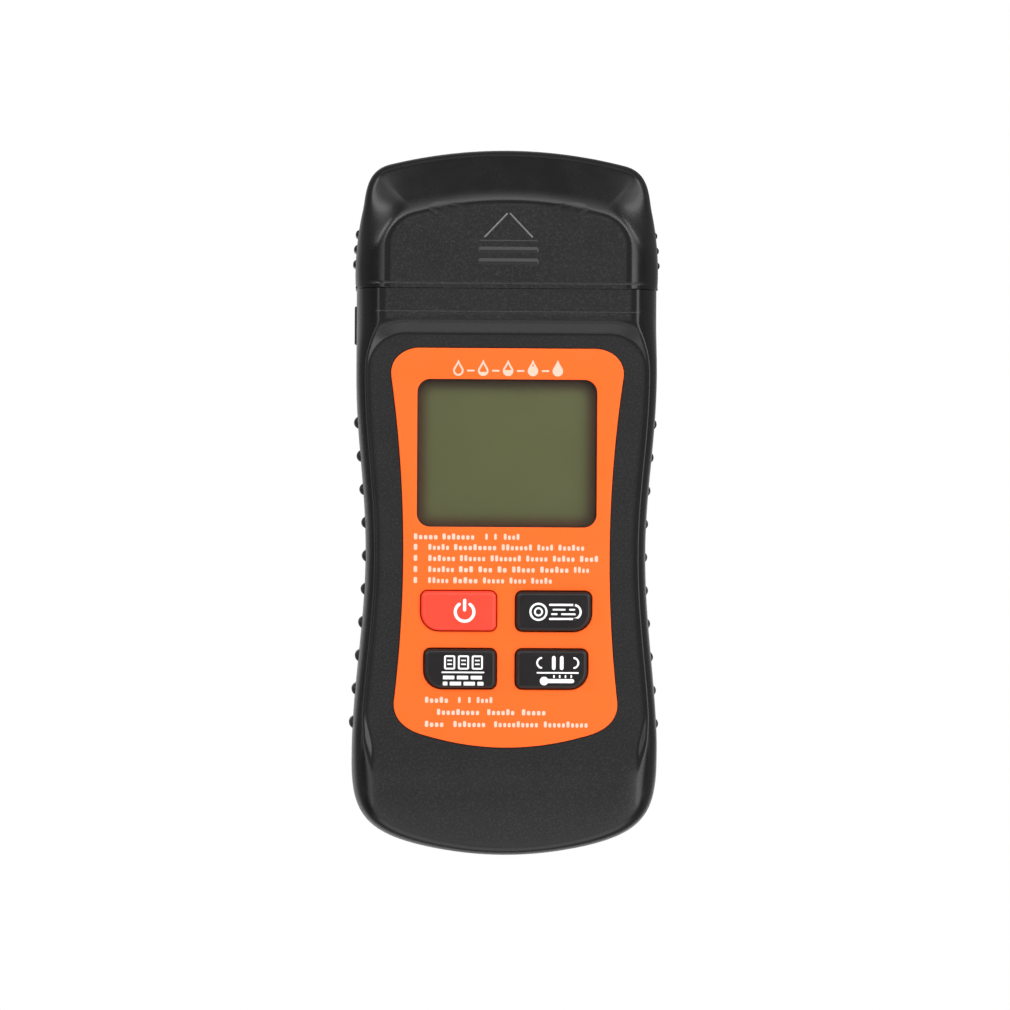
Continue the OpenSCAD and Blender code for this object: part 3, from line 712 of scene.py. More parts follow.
def corner_gap(x, y, r):
    """Signed distance out of a quadrant with a round corner, and how much its nearest wall looks along Y."""
    ax, ay = x + r, y + r
    corner = np.hypot(np.maximum(ax, 0), np.maximum(ay, 0))
    gap = corner + np.minimum(np.maximum(ax, ay), 0) - r
    return gap, np.where(ay > 0, (np.maximum(ay, 0) / np.maximum(corner, 1e-6)) ** 2, 0)


def pan(xy):
    """Signed distance out of the sunken face, and how much its nearest wall looks along the case."""
    x, y = np.abs(xy[:, 0]), xy[:, 1]
    rim = PAN_RIM + 1.8 * smooth((-41 - y) / 9)
    return corner_gap(x - (case_half(y) - rim), y - PAN_TOP_Y, PAN_R)


def edge_gap(xy, line=EDGE_LINE):
    """Distance in from the outline, of which line is the right-hand half."""
    return distance_to(np.column_stack([np.abs(xy[:, 0]), xy[:, 1]]), line)


def rolled(s, run=0.9, tilt=0.44):
    """How far a soft bevel has dropped at a distance s past the line where it starts."""
    s = np.maximum(s, 0)
    return tilt * np.where(s < run, s ** 2 / (2 * run), s - run / 2)


def fallen(t, width, drop, tilt):
    """How far a side has come down at t, from 0 where it starts with this tilt to 1 where it is upright."""
    return drop * (1 - np.sqrt(1 - t ** 2)) + tilt * width * t * (1 - t)


def quarter_round(d, r):
    """Height of a quarter round at a distance d in from where it is upright."""
    return np.sqrt(np.maximum(r * r - np.maximum(r - d, 0) ** 2, 0))


def front_height(xy):
    """Height of the front shell, whose rounded side turns into a shoulder beside the neck."""
    y = xy[:, 1]
    d = edge_gap(xy)
    neck = smooth((y - NECK_START_Y) / 3.6)
    tail = smooth((-46 - y) / 12)
    shoulder = SHOULDER_Z - fallen(1 - np.clip(d / SHOULDER_W, 0, 1), SHOULDER_W, SHOULDER_DROP, 0.75)
    shoulder += 0.6 * np.maximum(d - SHOULDER_W, 0)
    side = SIDE_Z - 3.6 * tail + quarter_round(d, SIDE_R + 1.5 * tail)
    side += (shoulder - side) * smooth((y - 26) / 11)
    side += (soft_min(side, NECK_Z - rolled(NECK_BEVEL - d), 0.2) - side) * neck
    # Fine line inside the bevel of the neck, and another one across it.
    side -= neck * groove(d - NECK_BEVEL - 0.3, 0.14, 0.06)
    # The chin falls away towards the tail.
    fall = NECK_Z - 0.0052 * np.maximum(0, -34 - y) ** 2
    side = soft_min(side, fall, 0.15 + 2.2 * smooth((-44 - y) / 14))
    gap, along = pan(xy)
    slope = 2.3 - 0.85 * along - 0.6 * smooth((-36 - y) / 8)
    floor = FACE_Z + np.maximum(gap, 0) / slope
    z = soft_min(side, floor, 0.5 + 0.2 * smooth((-36 - y) / 8))
    return z - groove(y - NECK_LINE_Y, 0.13, 0.08) * smooth((d - 3.0) / 1.5)


def spigot(grow=0.0):
    """Right-hand half profile, [x, z], of the stub that the cap slides over."""
    return [(25.5, 3.4 - grow), (27.4 + grow, 5), (27.4 + grow, 13.5 + grow), (26.9 + grow, 18 + grow),
            (25.4 + grow, 22 + grow), (22.6, 23.9 + grow)]


# The same for the hollow inside the stub.
HOLLOW = [(24, 5.4), (25.4, 6.6), (25.4, 13.2), (24.9, 17), (23.4, 20.6), (21.4, 21.9)]


def spigot_half(low, high):
    return carve(bar_y(spigot(), MOUTH_Y - 2, 50), overlap(box((-31, 30, low), (31, 60, high))))


def pin_passages():
    return [bar_y(HOLLOW, 39.9, 48), pin_rod(1, 2.65, 39.9, 60), pin_rod(-1, 2.65, 39.9, 60)]


def side_band(low_y, high_y, out, into):
    """Strip along the right side of the case, from out beyond it to into within it."""
    ys = span(high_y, low_y, 1.5) + [low_y]
    return [(case_x(y) + out, y) for y in ys] + [(case_x(y) - into, y) for y in reversed(ys)]


def side_prism(side, band, low, high):
    return prism([(side * x, y) for x, y in band], low, high)


def grip_pockets():
    return [side_prism(side, side_band(-50, 22, 2, 1.05), 6, 16) for side in (1, -1)]


def plate_outline(grow):
    """Outline of the orange plate, or of its pocket when it grows."""
    hip, low_y = plate_half(-39.8) + grow, -46.4 - grow
    half = [(0, 30.8 + grow)]
    half += bezier((17.4, 30.8 + grow), (20.6, 30.8 + grow), (plate_half(27.6) + grow, 28.6),
                   (plate_half(25.2) + grow, 25.2), 20, 0)
    half += [(plate_half(25.2 - 65 * i / 30) + grow, 25.2 - 65 * i / 30) for i in range(1, 30)]
    half += bezier((hip, -39.8), (hip + 0.1, -43), (20.2, low_y + 1.1), (15.8, low_y), 16, 0)
    return whole(half + shallow_arc(15.8, -48.7 - grow, 54, 12)[1:])


def rounded(w, h, r, at=(0, 0), n=8):
    """Rectangle with round corners, of one radius or of four from the upper right anticlockwise."""
    radii = r if isinstance(r, list) else [r] * 4
    loop = []
    for k, (r, sx, sy) in enumerate(zip(radii, (1, -1, -1, 1), (1, 1, -1, -1))):
        loop += arc(sx * (w / 2 - r), sy * (h / 2 - r), r, 90 * k, 90 * (k + 1), n)
    return [(x + at[0], y + at[1]) for x, y in loop]


def key_outline(i, grow=0.0, n=8):
    """Key with three small corners and a large one at its outer lower side, as the case curves there."""
    x, y, w = KEYS[i]
    small, large = max(0.05, 1.1 + grow), max(0.05, 3.4 + grow)
    corners = [small, small, small, large] if i % 2 else [small, small, large, small]
    return rounded(w + 2 * grow, KEY_H + 2 * grow, corners, (x, y), n)


CASE_YS = (span(60, 43, 2.5) + span(43, 38.8, 0.7) + span(38.8, 37.7, 0.11) + span(37.7, 32.6, 0.22)
           + span(32.6, 26, 0.45) + span(26, -38, 1.4) + span(-38, HIP_END_Y, 0.6))


def build_front():
    half = [(x, 60) for x in (0, 8, 16, 24)] + case_outline(CASE_YS)
    shell = spoke_solid("front_shell", whole(half), CASE_SPINE, front_height,
                        [(SPLIT_Z, 0.16), (SPLIT_Z + 0.16, 0), (13, 0), (15, 0), (17, 0)])
    inner = case_inner(3.2, 4.2)
    room = carve(prism(inner, 18, WALL_UNDER_Z), overlap(box((-40, -56, 0), (40, 50, 40))))
    steps = cuts(box((-40, MOUTH_Y, 0), (40, 90, 40)), prism(inner, SPLIT_Z - 1, 19), room)
    steps += joins(spigot_half(SPLIT_Z, 30), *(rod(p, 3, SPLIT_Z, 23) for p in CASE_SCREWS),
                   *(rod(p, 2.2, 17.2, 23) for p in PCB_SCREWS))
    steps += cuts(prism(plate_outline(0.15), POCKET_Z, 30),
                  prism(rounded(WINDOW_W + 3.4, WINDOW_H + 3.4, 3, (0, WINDOW_Y)), 23.3, 30),
                  prism(rounded(WINDOW_W - 0.4, WINDOW_H - 0.4, 2, (0, WINDOW_Y)), 20, 30),
                  *(prism(key_outline(i, KEY_GAP), 20, 30) for i in range(4)), *grip_pockets(),
                  *(rod(p, 1.18, SPLIT_Z - 1, 20.5) for p in CASE_SCREWS),
                  *(rod(p, 0.88, 16.2, 22) for p in PCB_SCREWS), *pin_passages())
    carve(shell, steps)
    co = coords(shell)
    gap, _ = pan(co[:, :2])
    d = edge_gap(co[:, :2])
    y = co[:, 1]
    face = smooth((-gap - 0.1) / 0.5) * smooth((d - 1.8) / 1.6)
    neck = smooth((y - 36.2) / 0.5) * smooth((d - NECK_BEVEL - 0.4) / 0.5)
    attribute(shell, "grain", np.clip(face + neck, 0, 1) * (co[:, 2] > 19))
    return shade(shell, 40)


# ---- Rear shell and door ----

def rounded_walls(low, top, side=3.2, rise=5.0, steps=7):
    """Rings that round the back edge of a shell, as [z, inset] from the bottom up."""
    quarter = [math.pi / 2 * i / steps for i in range(steps + 1)]
    return [(low + (rise - low) * (1 - math.cos(a)), side * (1 - math.sin(a))) for a in quarter] + top


def rear_solid():
    half = [(x, 60) for x in (0, 8, 16, 24)]
    half += case_outline(span(60, 26, 2) + span(26, HIP_END_Y, 2.5), 26, 10)
    rim, way, _ = spokes(whole(half), *CASE_SPINE)
    walls = rounded_walls(0, [(8, 0), (SPLIT_Z - 0.16, 0), (SPLIT_Z, 0.16)])
    solid = ring_solid("rear", wall_rings(rim, way, walls), len(rim), weld=FINE_WELD)
    carve(solid, cuts(box((-40, MOUTH_Y, -5), (40, 90, 40))))
    # A low pad on each side of the case, just below the mouth of the cap.
    for x in (-30, 30):
        carve(solid, joins(eased(box((x - 0.4, 31.8, 4.6), (x + 0.4, 39.4, 11.0)), 0.25, 3, 38)))
    return solid


def door_space(gap):
    """Room for the door: its leaf, the tongues in the rails and the lip round the tail."""
    return [box((-18.4 - gap, TAIL_Y - 1, -1), (18.4 + gap, -7.6 + gap, 2.2 + gap)),
            box((-19.6 - gap, TAIL_Y - 1, 1.2 - gap), (19.6 + gap, -7.6 + gap, 2.2 + gap)),
            box((-18.4 - gap, TAIL_Y - 1, -1), (18.4 + gap, -66.2 + gap, 6.5 + gap))]


def back_grain(co, line=EDGE_LINE):
    """The flat of the back is textured, and its rounded edge isn't."""
    return (co[:, 2] < 0.5) * smooth((edge_gap(co[:, :2], line) - 3.0) / 0.5)


def build_rear():
    shell = rear_solid()
    shell.name = "rear_shell"
    screw_recess = [(0, -1), (3.5, -1), (3.5, -0.01), (2.95, 0.0), (2.5, 0.45), (2.5, 5), (0, 5)]
    steps = cuts(prism(case_inner(2.8, 2.8), 2.2, SPLIT_Z + 1))
    steps += joins(spigot_half(0, SPLIT_Z), *(rod(p, 3.4, 1, SPLIT_Z) for p in CASE_SCREWS),
                   box((-BAY_HALF - 1.2, BAY_LOW_Y - 1.4, 1.6), (BAY_HALF + 1.2, BAY_HIGH_Y + 1.4, 14.5)),
                   box((-21.6, -65, 1.8), (-19.6, -7, 3.6)), box((19.6, -65, 1.8), (21.6, -7, 3.6)),
                   box((-21.6, -65.9, 1.6), (21.6, -64.4, SPLIT_Z)))
    steps += cuts(box((-BAY_HALF, BAY_LOW_Y, -1), (BAY_HALF, BAY_HIGH_Y, 13.3)), *door_space(0.2),
                  *grip_pockets(), *(rod(p, 1.4, -1, SPLIT_Z + 1) for p in CASE_SCREWS),
                  *(turned(screw_recess, (*p, 0)) for p in CASE_SCREWS), *pin_passages(),
                  *(box((x - 1.3, BAY_HIGH_Y - 1, 8), (x + 1.3, BAY_HIGH_Y + 2, 11))
                    for x in (-CELL_PITCH, CELL_PITCH)))
    carve(shell, steps)
    co = coords(shell)
    attribute(shell, "grain", back_grain(co))
    return shade(shell, 38)


def build_door():
    solid = rear_solid()
    solid.name = "door_cover"
    space = door_space(0)
    carve(space[0], joins(space[1], space[2]))
    carve(solid, overlap(space[0]) + cuts(box((-40, -80, -1), (40, 0, 0.2)),
                                          box((-15, -67.6, 2.2), (15, -65.2, 7.5))))
    # Shallow thumb well with five ridges, and an arrow that points to the tail.
    well = eased(prism(rounded(14, 12.6, 3, (0, -61.9), 10), -1, 0.75), 0.45, 4)
    ridges = [eased(box((-5.6, y - 0.55, 0.25), (5.6, y + 0.55, 1.2)), 0.28, 3)
              for y in (-57.4 - 2.25 * i for i in range(5))]
    arrow = [(0, -54.6), (-5.2, -50.5), (-5.2, -49.3), (0, -53.4), (5.2, -49.3), (5.2, -50.5)]
    carve(solid, cuts(well) + joins(*ridges) + cuts(prism(arrow, -1, 0.6)))
    co = coords(solid)
    inside = (np.abs(co[:, 0]) < 7.2) & (co[:, 1] < -55) & (co[:, 1] > -68.5)
    attribute(solid, "grain", (co[:, 2] < 0.3) * (~inside) * 1.0)
    return shade(solid, 38)


# ---- Cap ----

CAP_LINE = np.array(cap_outline(span(CAP_CORNER_Y, 10, 1.0)[1:] + [10], 50, 24))
CAP_BEVEL = 1.0
FLAT_HALF, FLAT_TOP_Y, FLAT_ARC_R, FLAT_CORNER_R, FLAT_RISE = 25.1, 61.3, 70, 6, 0.08
CROWN_ROUND, CROWN_DROP, CAP_SIDE_Z = 3.0, 5.7, 17


def plateau(xy):
    """Signed distance out of the cap's flat, which has a shallow arc on top, and how far it looks along Y."""
    x, y = np.abs(xy[:, 0]), xy[:, 1]
    bent = y + x ** 2 / (2 * FLAT_ARC_R)
    return corner_gap(x - FLAT_HALF, bent - FLAT_TOP_Y, FLAT_CORNER_R)


def cap_height(xy):
    """Height of the cap: its flat with a bevel round it, its sides and its sloping crown."""
    d = edge_gap(xy, CAP_LINE)
    gap, along = plateau(xy)
    out = np.maximum(gap, 0)
    t = out / np.maximum(out + d, 1e-6)
    start = CAP_BEVEL + 0.5 * along
    level = NECK_Z - rolled(start) + FLAT_RISE
    side = level - fallen(np.clip(t, 0, 1), out + d, level - FLAT_RISE - CAP_SIDE_Z, 0.6)
    # The crown falls in a straight slope that ends in a quarter round.
    turn = np.arctan(CROWN_DROP / np.maximum(out + d, 1))
    tangent = CROWN_ROUND * (1 - np.sin(turn))
    foot = level - CROWN_DROP + tangent * np.tan(turn) - CROWN_ROUND * np.cos(turn)
    crown = np.where(d < tangent, foot + quarter_round(d, CROWN_ROUND), level - CROWN_DROP * t)
    z = side + (crown - side) * along + 0.6 * np.maximum(-gap, 0)
    z = soft_min(z, NECK_Z - rolled(gap + start), 0.2)
    return z - groove(gap + start + 0.3, 0.15, 0.06) - mouth_drop(xy[:, 1])


def round_ended(r, low, high, n):
    """Profile of a bar with round ends, as [radius, height]."""
    quarter = [math.pi / 2 * i / n for i in range(n + 1)]
    end = [(r * math.sin(a), low + r - r * math.cos(a)) for a in quarter]
    return end + [(x, high + low - h) for x, h in reversed(end)]


def capsule(x, y, r, low, high):
    """Upright rib with round ends."""
    return turned(round_ended(r, low, high, 6), (x, y, 0), sides=28, name="rib")


def long_ridge(x0, x1, y, z, r, name):
    """Low roof-shaped ridge along X with tapered ends."""
    obj = turned(round_ended(r, x0, x1, 5), (0, 0, 0), sides=4, name=name)
    squeeze = Matrix.Diagonal((1, 1, 0.42, 1))
    place = Matrix.Translation((0, y * MM, z * MM))
    obj.data.transform(place @ squeeze @ Matrix.Rotation(math.pi / 2, 4, "Y"))
    return obj


def build_cap():
    ys = (span(CAP_CORNER_Y, 56, 0.6)[1:] + span(56, 44.4, 0.8) + span(44.4, 43.2, 0.09)
          + span(43.2, 42.9, 0.15) + span(42.9, 42.5, 0.05) + span(42.5, 18, 2.5) + [18])
    half = cap_outline(ys, 34, 16) + [(16, 18), (8, 18), (0, 18)]
    walls = rounded_walls(0.2, [(9, 0), (13, 0), (17, 0)])
    shell = spoke_solid("cap_shell", whole(half), (34, 50), cap_height, walls)
    ribs = [capsule(side * (float(cap_side(y)) - 0.3), y, 0.85, 6.4, 15.2)
            for side in (-1, 1) for y in (53.8, 50.8, 47.8)]
    carve(shell, cuts(box((-40, 10, -5), (40, MOUTH_Y, 40)), bar_y(spigot(0.3), 41.6, 50.3),
                      box((-23.6, 49, 3.4), (23.6, 63.6, 19.4))) + joins(*ribs))
    co = coords(shell)
    gap, _ = plateau(co[:, :2])
    grain = smooth((-gap - CAP_BEVEL - 0.45) / 0.4) * (co[:, 2] > 20)
    grain = np.maximum(grain, back_grain(co, CAP_LINE))
    attribute(shell, "grain", grain)
    return shade(shell, 40)


def stroke(name, a, b, width, low, high):
    """Straight bead between two points on the face, with round ends and a round back."""
    a, b = np.array(a, float), np.array(b, float)
    d = (b - a) / np.linalg.norm(b - a)
    angle = math.degrees(math.atan2(d[1], d[0]))
    r = width / 2
    loop = arc(*b, r, angle - 90, angle + 90, 6) + arc(*a, r, angle + 90, angle + 270, 6)
    return sheet(name, [loop], low, high, min(r * 0.6, (high - low) * 0.45), 3)


# ---- Make the shells ----

put(build_front(), "case", HOUSING, "front_housing")
put(build_rear(), "case", HOUSING, "rear_housing")
put(build_cap(), "cap", HOUSING, "pin_cap")
put(build_door(), "door", HOUSING, "battery_door")

for y, rise in ((52.1, -0.09), (50.3, 0.1), (48.0, 0.1)):
    ridge = long_ridge(-6.1, 6.1, y, 26.5 + rise, 0.62, name="cap_bar_%d" % round(y))
    attribute(ridge, "grain", np.zeros(len(ridge.data.vertices)))
    put(shade(ridge, 20), "cap", HOUSING)
# The cap's arrow, in pale grey as a painted highlight on its black beads.
for side, label in SIDES:
    line = stroke("cap_arrow_" + label, (side * 0.32, 57.5), (side * 4.7, 52.9), 0.34, 26.5, 26.72)
    put(shade(line), "cap", ARROW_HIGHLIGHT_GREY)

# ---- Grips ----


def build_grip(side, label):
    grip = eased(side_prism(side, side_band(-49.9, 21.9, 0, 1), 6.1, 15.9), 0.22, 3)
    grip.name = label + "_grip_rubber"
    rib_ys = [16 - 6.69 * i for i in range(10)]
    ribs = [capsule(side * (case_x(y) - 0.45), y, 1.25, 6.9, 15.1) for y in rib_ys]
    carve(grip, joins(*ribs) + overlap(side_prism(side, side_band(-49.9, 21.9, 3, 1), 0, 30)))
    return shade(grip, 42)


for side, label in SIDES:
    put(build_grip(side, label), "case", GRIP, label + "_grip")

# ---- Faceplate and its print ----

plate = sheet("faceplate_cover", [plate_outline(0), rounded(WINDOW_W, WINDOW_H, 2.6, (0, WINDOW_Y), 12)]
              + [key_outline(i, KEY_GAP, 10) for i in range(4)], POCKET_Z, PLATE_Z, 0.2, 4)
put(shade(plate, 30), "case", ORANGE, "faceplate")


def bar(x, y, w, h):
    return rounded(w, h, min(w, h) * 0.48, (x + w / 2, y), 5)


def drop(x, y, r):
    """Outline of a water drop that stands on its round end."""
    shoulder = y + r * 1.35
    return arc(x, y, r, -205, 25, 20) + [(x + r * 0.35, shoulder), (x, y + r * 2.1), (x - r * 0.35, shoulder)]


def word(x, y, w):
    """Row of small blocks that stands for a word."""
    n = max(1, round(w / 0.93))
    pitch = w / n
    loops = []
    for k in range(n):
        tall = 1.2 if k == 0 or (k * 7 + round(w * 10)) % 5 == 0 else 0.86
        loops.append(rounded(pitch - 0.3, tall, 0.24, (x + pitch * (k + 0.5), y + (tall - 0.86) / 2), 3))
    return loops


def print_loops():
    loops = []
    # Heading: drops that fill up, from dry to wet, over a scale.
    for i in range(5):
        x = -9.8 + 4.95 * i
        loops.append(drop(x, 26.3, 1.05))
        if i < 4:
            inner = drop(x, 26.3, 0.68)
            if i:
                level = 26.3 - 0.68 + 0.42 * i
                inner = [(px, py) for px, py in inner if py > level - 0.01]
            loops.append(inner)
            loops.append(bar(x + 1.75, 26.3, 1.5, 0.36))
    # Rows that stand for the lists of materials: a mark and rows of blocks.
    rows = [(-6.9, -18.6, [(0, 5.0), (5.7, 6.6), (14.2, 0.8), (16.0, 0.8), (17.9, 3.4)]),
            (-9.0, -18.6, [(0, 1.0), (2.9, 4.4), (8.0, 8.7), (17.5, 6.3), (24.6, 3.4), (28.8, 5.4)]),
            (-11.2, -18.6, [(0, 1.0), (2.9, 5.6), (9.2, 5.3), (15.3, 6.3), (22.4, 4.5), (27.7, 4.6),
                            (33.1, 3.9)]),
            (-13.4, -18.6, [(0, 1.0), (2.9, 5.4), (9.0, 3.1), (12.9, 3.0), (16.7, 2.1), (19.6, 4.8),
                            (25.2, 5.9), (31.9, 3.3)]),
            (-15.6, -18.6, [(0, 1.0), (2.9, 4.3), (7.9, 5.1), (13.8, 4.5), (19.1, 3.5), (23.4, 4.4)]),
            (-39.4, -16.2, [(0, 4.9), (6.6, 0.8), (8.6, 0.8), (10.3, 3.4)]),
            (-41.8, -13.8, [(0, 8.7), (10.0, 5.7), (16.9, 5.0)]),
            (-44.2, -16.2, [(0, 4.0), (5.7, 6.6), (13.8, 9.0), (23.7, 9.0)])]
    for y, x0, words in rows:
        for x, w in words:
            loops += word(x0 + x, y, w)
    return loops


plate_print = sheet("plate_print", print_loops(), PLATE_Z - 0.03, PLATE_Z + 0.025)
put(shade(plate_print), "case", PRINT)

# ---- Display ----

glass = merged("lcd_panel", [box((-21, WINDOW_Y - 17, 20.4), (21, WINDOW_Y + 17, 21.38)),
                             box((-21, WINDOW_Y - 15.2, 21.42), (21, WINDOW_Y + 15.2, 22.4))])
put(shade(eased(glass, 0.08, 2), 30), "case", LCD, "lcd_glass")
lens_outline = rounded(WINDOW_W + 3.2, WINDOW_H + 3.2, 2.9, (0, WINDOW_Y), 12)
window = sheet("window_lens", [lens_outline], 23.3, 24.19, 0.12)
put(shade(window, 30), "case", LENS, "display_lens")

# ---- Keys ----


def build_key(i, name):
    """Key cap with a soft round edge and a slightly crowned top, and the flange that keeps it in."""
    radius, crowning = 0.85, 0.1
    rings = [(FLANGE_Z, 0), (24.5, 0)]
    for a in (math.pi / 2 * k / 7 for k in range(1, 8)):
        rings.append((KEY_TOP_Z - crowning - radius * (1 - math.sin(a)), radius * (1 - math.cos(a))))
    for d in (1.2, 1.7, 2.4, 3.1, 3.72):
        rings.append((KEY_TOP_Z - crowning * (1 - smooth((d - radius) / 2.4)), d))
    verts = [(x, y, z) for z, d in rings for x, y in key_outline(i, 0.13 - d)]
    key = ring_solid(name, verts, len(key_outline(i)))
    x, y, w = KEYS[i]
    flange = prism(rounded(w + 2, KEY_H + 2, 1, (x, y)), FLANGE_Z, FLANGE_TOP_Z)
    return shade(carve(key, joins(eased(flange, 0.15, 2))), 40)


KEY_NAMES = ("power", "wood", "paper_wall", "hold")
for i, name in enumerate(KEY_NAMES):
    red = name == "power"
    put(build_key(i, name + "_key_cap"), name + "_key", RED_KEY if red else BLACK_KEY,
        name + "_button")


def ring(cx, cy, r, width, start=0, end=360, n=40):
    """A ring as an outline and a hole, or an open arc of the same width."""
    if end - start >= 360:
        return [arc(cx, cy, r + width / 2, 0, 360, n)[:-1], arc(cx, cy, r - width / 2, 0, 360, n)[:-1]]
    tip = width / 2
    a, b = math.radians(start), math.radians(end)
    loop = arc(cx, cy, r + tip, start, end, n)
    loop += arc(cx + r * math.cos(b), cy + r * math.sin(b), tip, end, end + 180, 6)[1:]
    loop += arc(cx, cy, r - tip, end, start, n)[1:]
    loop += arc(cx + r * math.cos(a), cy + r * math.sin(a), tip, start + 180, start + 360, 6)[1:-1]
    return [loop]


def frame_loops(x0, y0, x1, y1, width, r=0.3):
    w, h, at = x1 - x0, y1 - y0, ((x0 + x1) / 2, (y0 + y1) / 2)
    return [rounded(w, h, r, at, 5), rounded(w - 2 * width, h - 2 * width, max(0.05, r - width), at, 5)]


def power_mark():
    x, y = -8.3, -21.7
    return ring(x, y, 1.85, 0.6, 125, 415) + [bar(x - 0.31, y + 1.35, 0.62, 2.5)]


def wood_mark():
    """A sawn log: end grain rings and the bark's long lines."""
    loops = ring(6.4, -21.6, 1.6, 0.4) + ring(6.4, -21.6, 0.72, 0.36)
    loops += [bar(8.5, -20.2, 5.2, 0.42), bar(8.5, -23.0, 5.2, 0.42), bar(9.2, -21.15, 2.6, 0.34),
              bar(12.5, -21.15, 1.2, 0.34), bar(8.9, -22.05, 1.3, 0.34), bar(10.9, -22.05, 2.9, 0.34)]
    return loops + ring(13.4, -21.6, 1.4, 0.42, -88, 88, 16)


def paper_wall_mark():
    """Sheets of paper over a brick wall."""
    loops = []
    for k in range(3):
        x = -12.3 + 2.75 * k
        loops += frame_loops(x, -33.15, x + 2.2, -30.35, 0.34, 0.35)
        loops += [bar(x + 0.62, -31.35, 0.96, 0.28), bar(x + 0.62, -32.1, 0.96, 0.28)]
    loops.append(bar(-12.8, -33.72, 8.5, 0.3))
    for row, (y, shift) in enumerate(((-34.75, 0), (-35.95, 1.35))):
        for k in range(3):
            w, middle = (1.2, 0.65) if row and k == 2 else (2.25, 1.17)
            loops.append(rounded(w, 0.72, 0.12, (-12.55 + 2.75 * k + shift + middle, y), 3))
        if row:
            loops.append(rounded(0.9, 0.72, 0.12, (-12.08, y), 3))
    return loops


def hold_mark():
    """Pause sign over a thermometer."""
    x = 10.3
    loops = [bar(x - 1.15, -31.75, 0.72, 2.75), bar(x + 0.43, -31.75, 0.72, 2.75)]
    loops += ring(x - 3.1, -31.75, 1.0, 0.36, 100, 260, 14) + ring(x + 3.1, -31.75, 1.0, 0.36, -80, 80, 14)
    loops.append(bar(6.1, -33.72, 8.4, 0.3))
    stem = arc(7.6, -35.35, 0.85, 28, 332, 18) + [(13.2, -35.75)] + arc(13.2, -35.35, 0.4, -90, 90, 6)[1:]
    loops.append(stem)
    loops += [bar(9.4 + 1.15 * k, -34.45, 0.3, 0.6) for k in range(4)]
    return loops


for name, marks in zip(KEY_NAMES, (power_mark(), wood_mark(), paper_wall_mark(), hold_mark())):
    mark = sheet(name + "_key_mark", marks, KEY_TOP_Z - 0.12, KEY_TOP_Z + 0.03)
    put(shade(mark), name + "_key", KEY_PRINT)

# ---- Screws, nuts, pins and sockets ----


def build_screw(at, head_z, head_r, head_h, shank_r, tip_z):
    """Pan-head screw from the back, with a cross recess and a rolled thread."""
    head = [(0, 0.0), (head_r * 0.5, 0.0), (head_r * 0.82, 0.1), (head_r * 0.96, 0.35), (head_r, 0.7),
            (head_r, head_h), (shank_r * 0.85, head_h)]
    length = tip_z - head_z
    thread, z = [], head_h + 0.2
    while z < length - 1.4:
        thread += [(shank_r * 0.8, z), (shank_r, z + 0.22), (shank_r * 0.8, z + 0.44)]
        z += 0.62
    end = [(shank_r * 0.5, length - 0.5), (0, length)]
    body = turned(head + thread + end, (*at, head_z), sides=28)
    blades = [box((-head_r * 0.62, -0.26, -0.5), (head_r * 0.62, 0.26, 0.75)) for _ in range(2)]
    place = Matrix.Translation((at[0] * MM, at[1] * MM, head_z * MM))
    for blade, angle in zip(blades, (0, math.pi / 2)):
        blade.data.transform(place @ Matrix.Rotation(angle, 4, "Z"))
    return carve(body, cuts(*blades))


case_screws = merged("case_screws", [build_screw(p, 3.4, 2.3, 1.6, 1.15, 19) for p in CASE_SCREWS])
put(shade(case_screws, 50), "case", ZINC, "housing_screws")
board_screws = merged("board_screws", [build_screw(p, 14.4, 1.7, 1.2, 0.85, 21.5) for p in PCB_SCREWS])
put(shade(board_screws, 50), "case", ZINC, "pcb_screws")


def build_pin(side, label):
    """Test needle on a threaded shank, with a ground point."""
    profile = [(0, 44)]
    y = 44.0
    while y < 52.4:
        profile += [(1.32, y + 0.05), (1.5, y + 0.25), (1.32, y + 0.45)]
        y += 0.5
    profile += [(1.35, 52.7), (1.15, 52.9), (0.8, 53.05), (0.8, 58.2), (0.62, 59.2), (0.36, 60.4),
                (0.1, 61.3), (0, 61.4)]
    return pin_turned(profile, side, 36, name=label + "_needle")


def build_nut(side):
    """Hexagon nut with turned chamfers on both faces."""
    low, high = 50.45, 52.85
    cone = [(0, low), (2.72, low), (3.2, low + 0.3), (3.2, high - 0.3), (2.72, high), (0, high)]
    bore = [(0, low - 0.25), (1.95, low - 0.25), (1.55, low + 0.3), (1.55, high - 0.3), (1.95, high + 0.25),
            (0, high + 0.25)]
    hexagon = pin_rod(side, 3.1, low, high, 6)
    return carve(hexagon, overlap(pin_turned(cone, side)) + cuts(pin_turned(bore, side)))


def build_socket(side):
    profile = [(1.55, 43.9), (1.55, 50.2), (1.75, 50.4), (2.45, 50.4), (2.6, 50.25), (2.6, 47.9), (3.5, 47.9),
               (3.6, 47.8), (3.6, 46.1), (3.5, 46), (2.6, 46), (2.6, 40.6), (2.5, 40.5), (0, 40.5), (0, 43.9)]
    return pin_turned(profile, side, closed=True)


for side, label in SIDES:
    put(shade(build_pin(side, label), 40), "case", STEEL, label + "_pin")
nuts = merged("needle_nuts", [build_nut(side) for side, _ in SIDES])
put(shade(nuts, 30), "case", STEEL, "pin_nuts")
sockets = merged("needle_sockets", [build_socket(side) for side, _ in SIDES])
put(shade(sockets, 35), "case", BRASS, "pin_sockets")

# ---- Cells, springs and contact plates ----


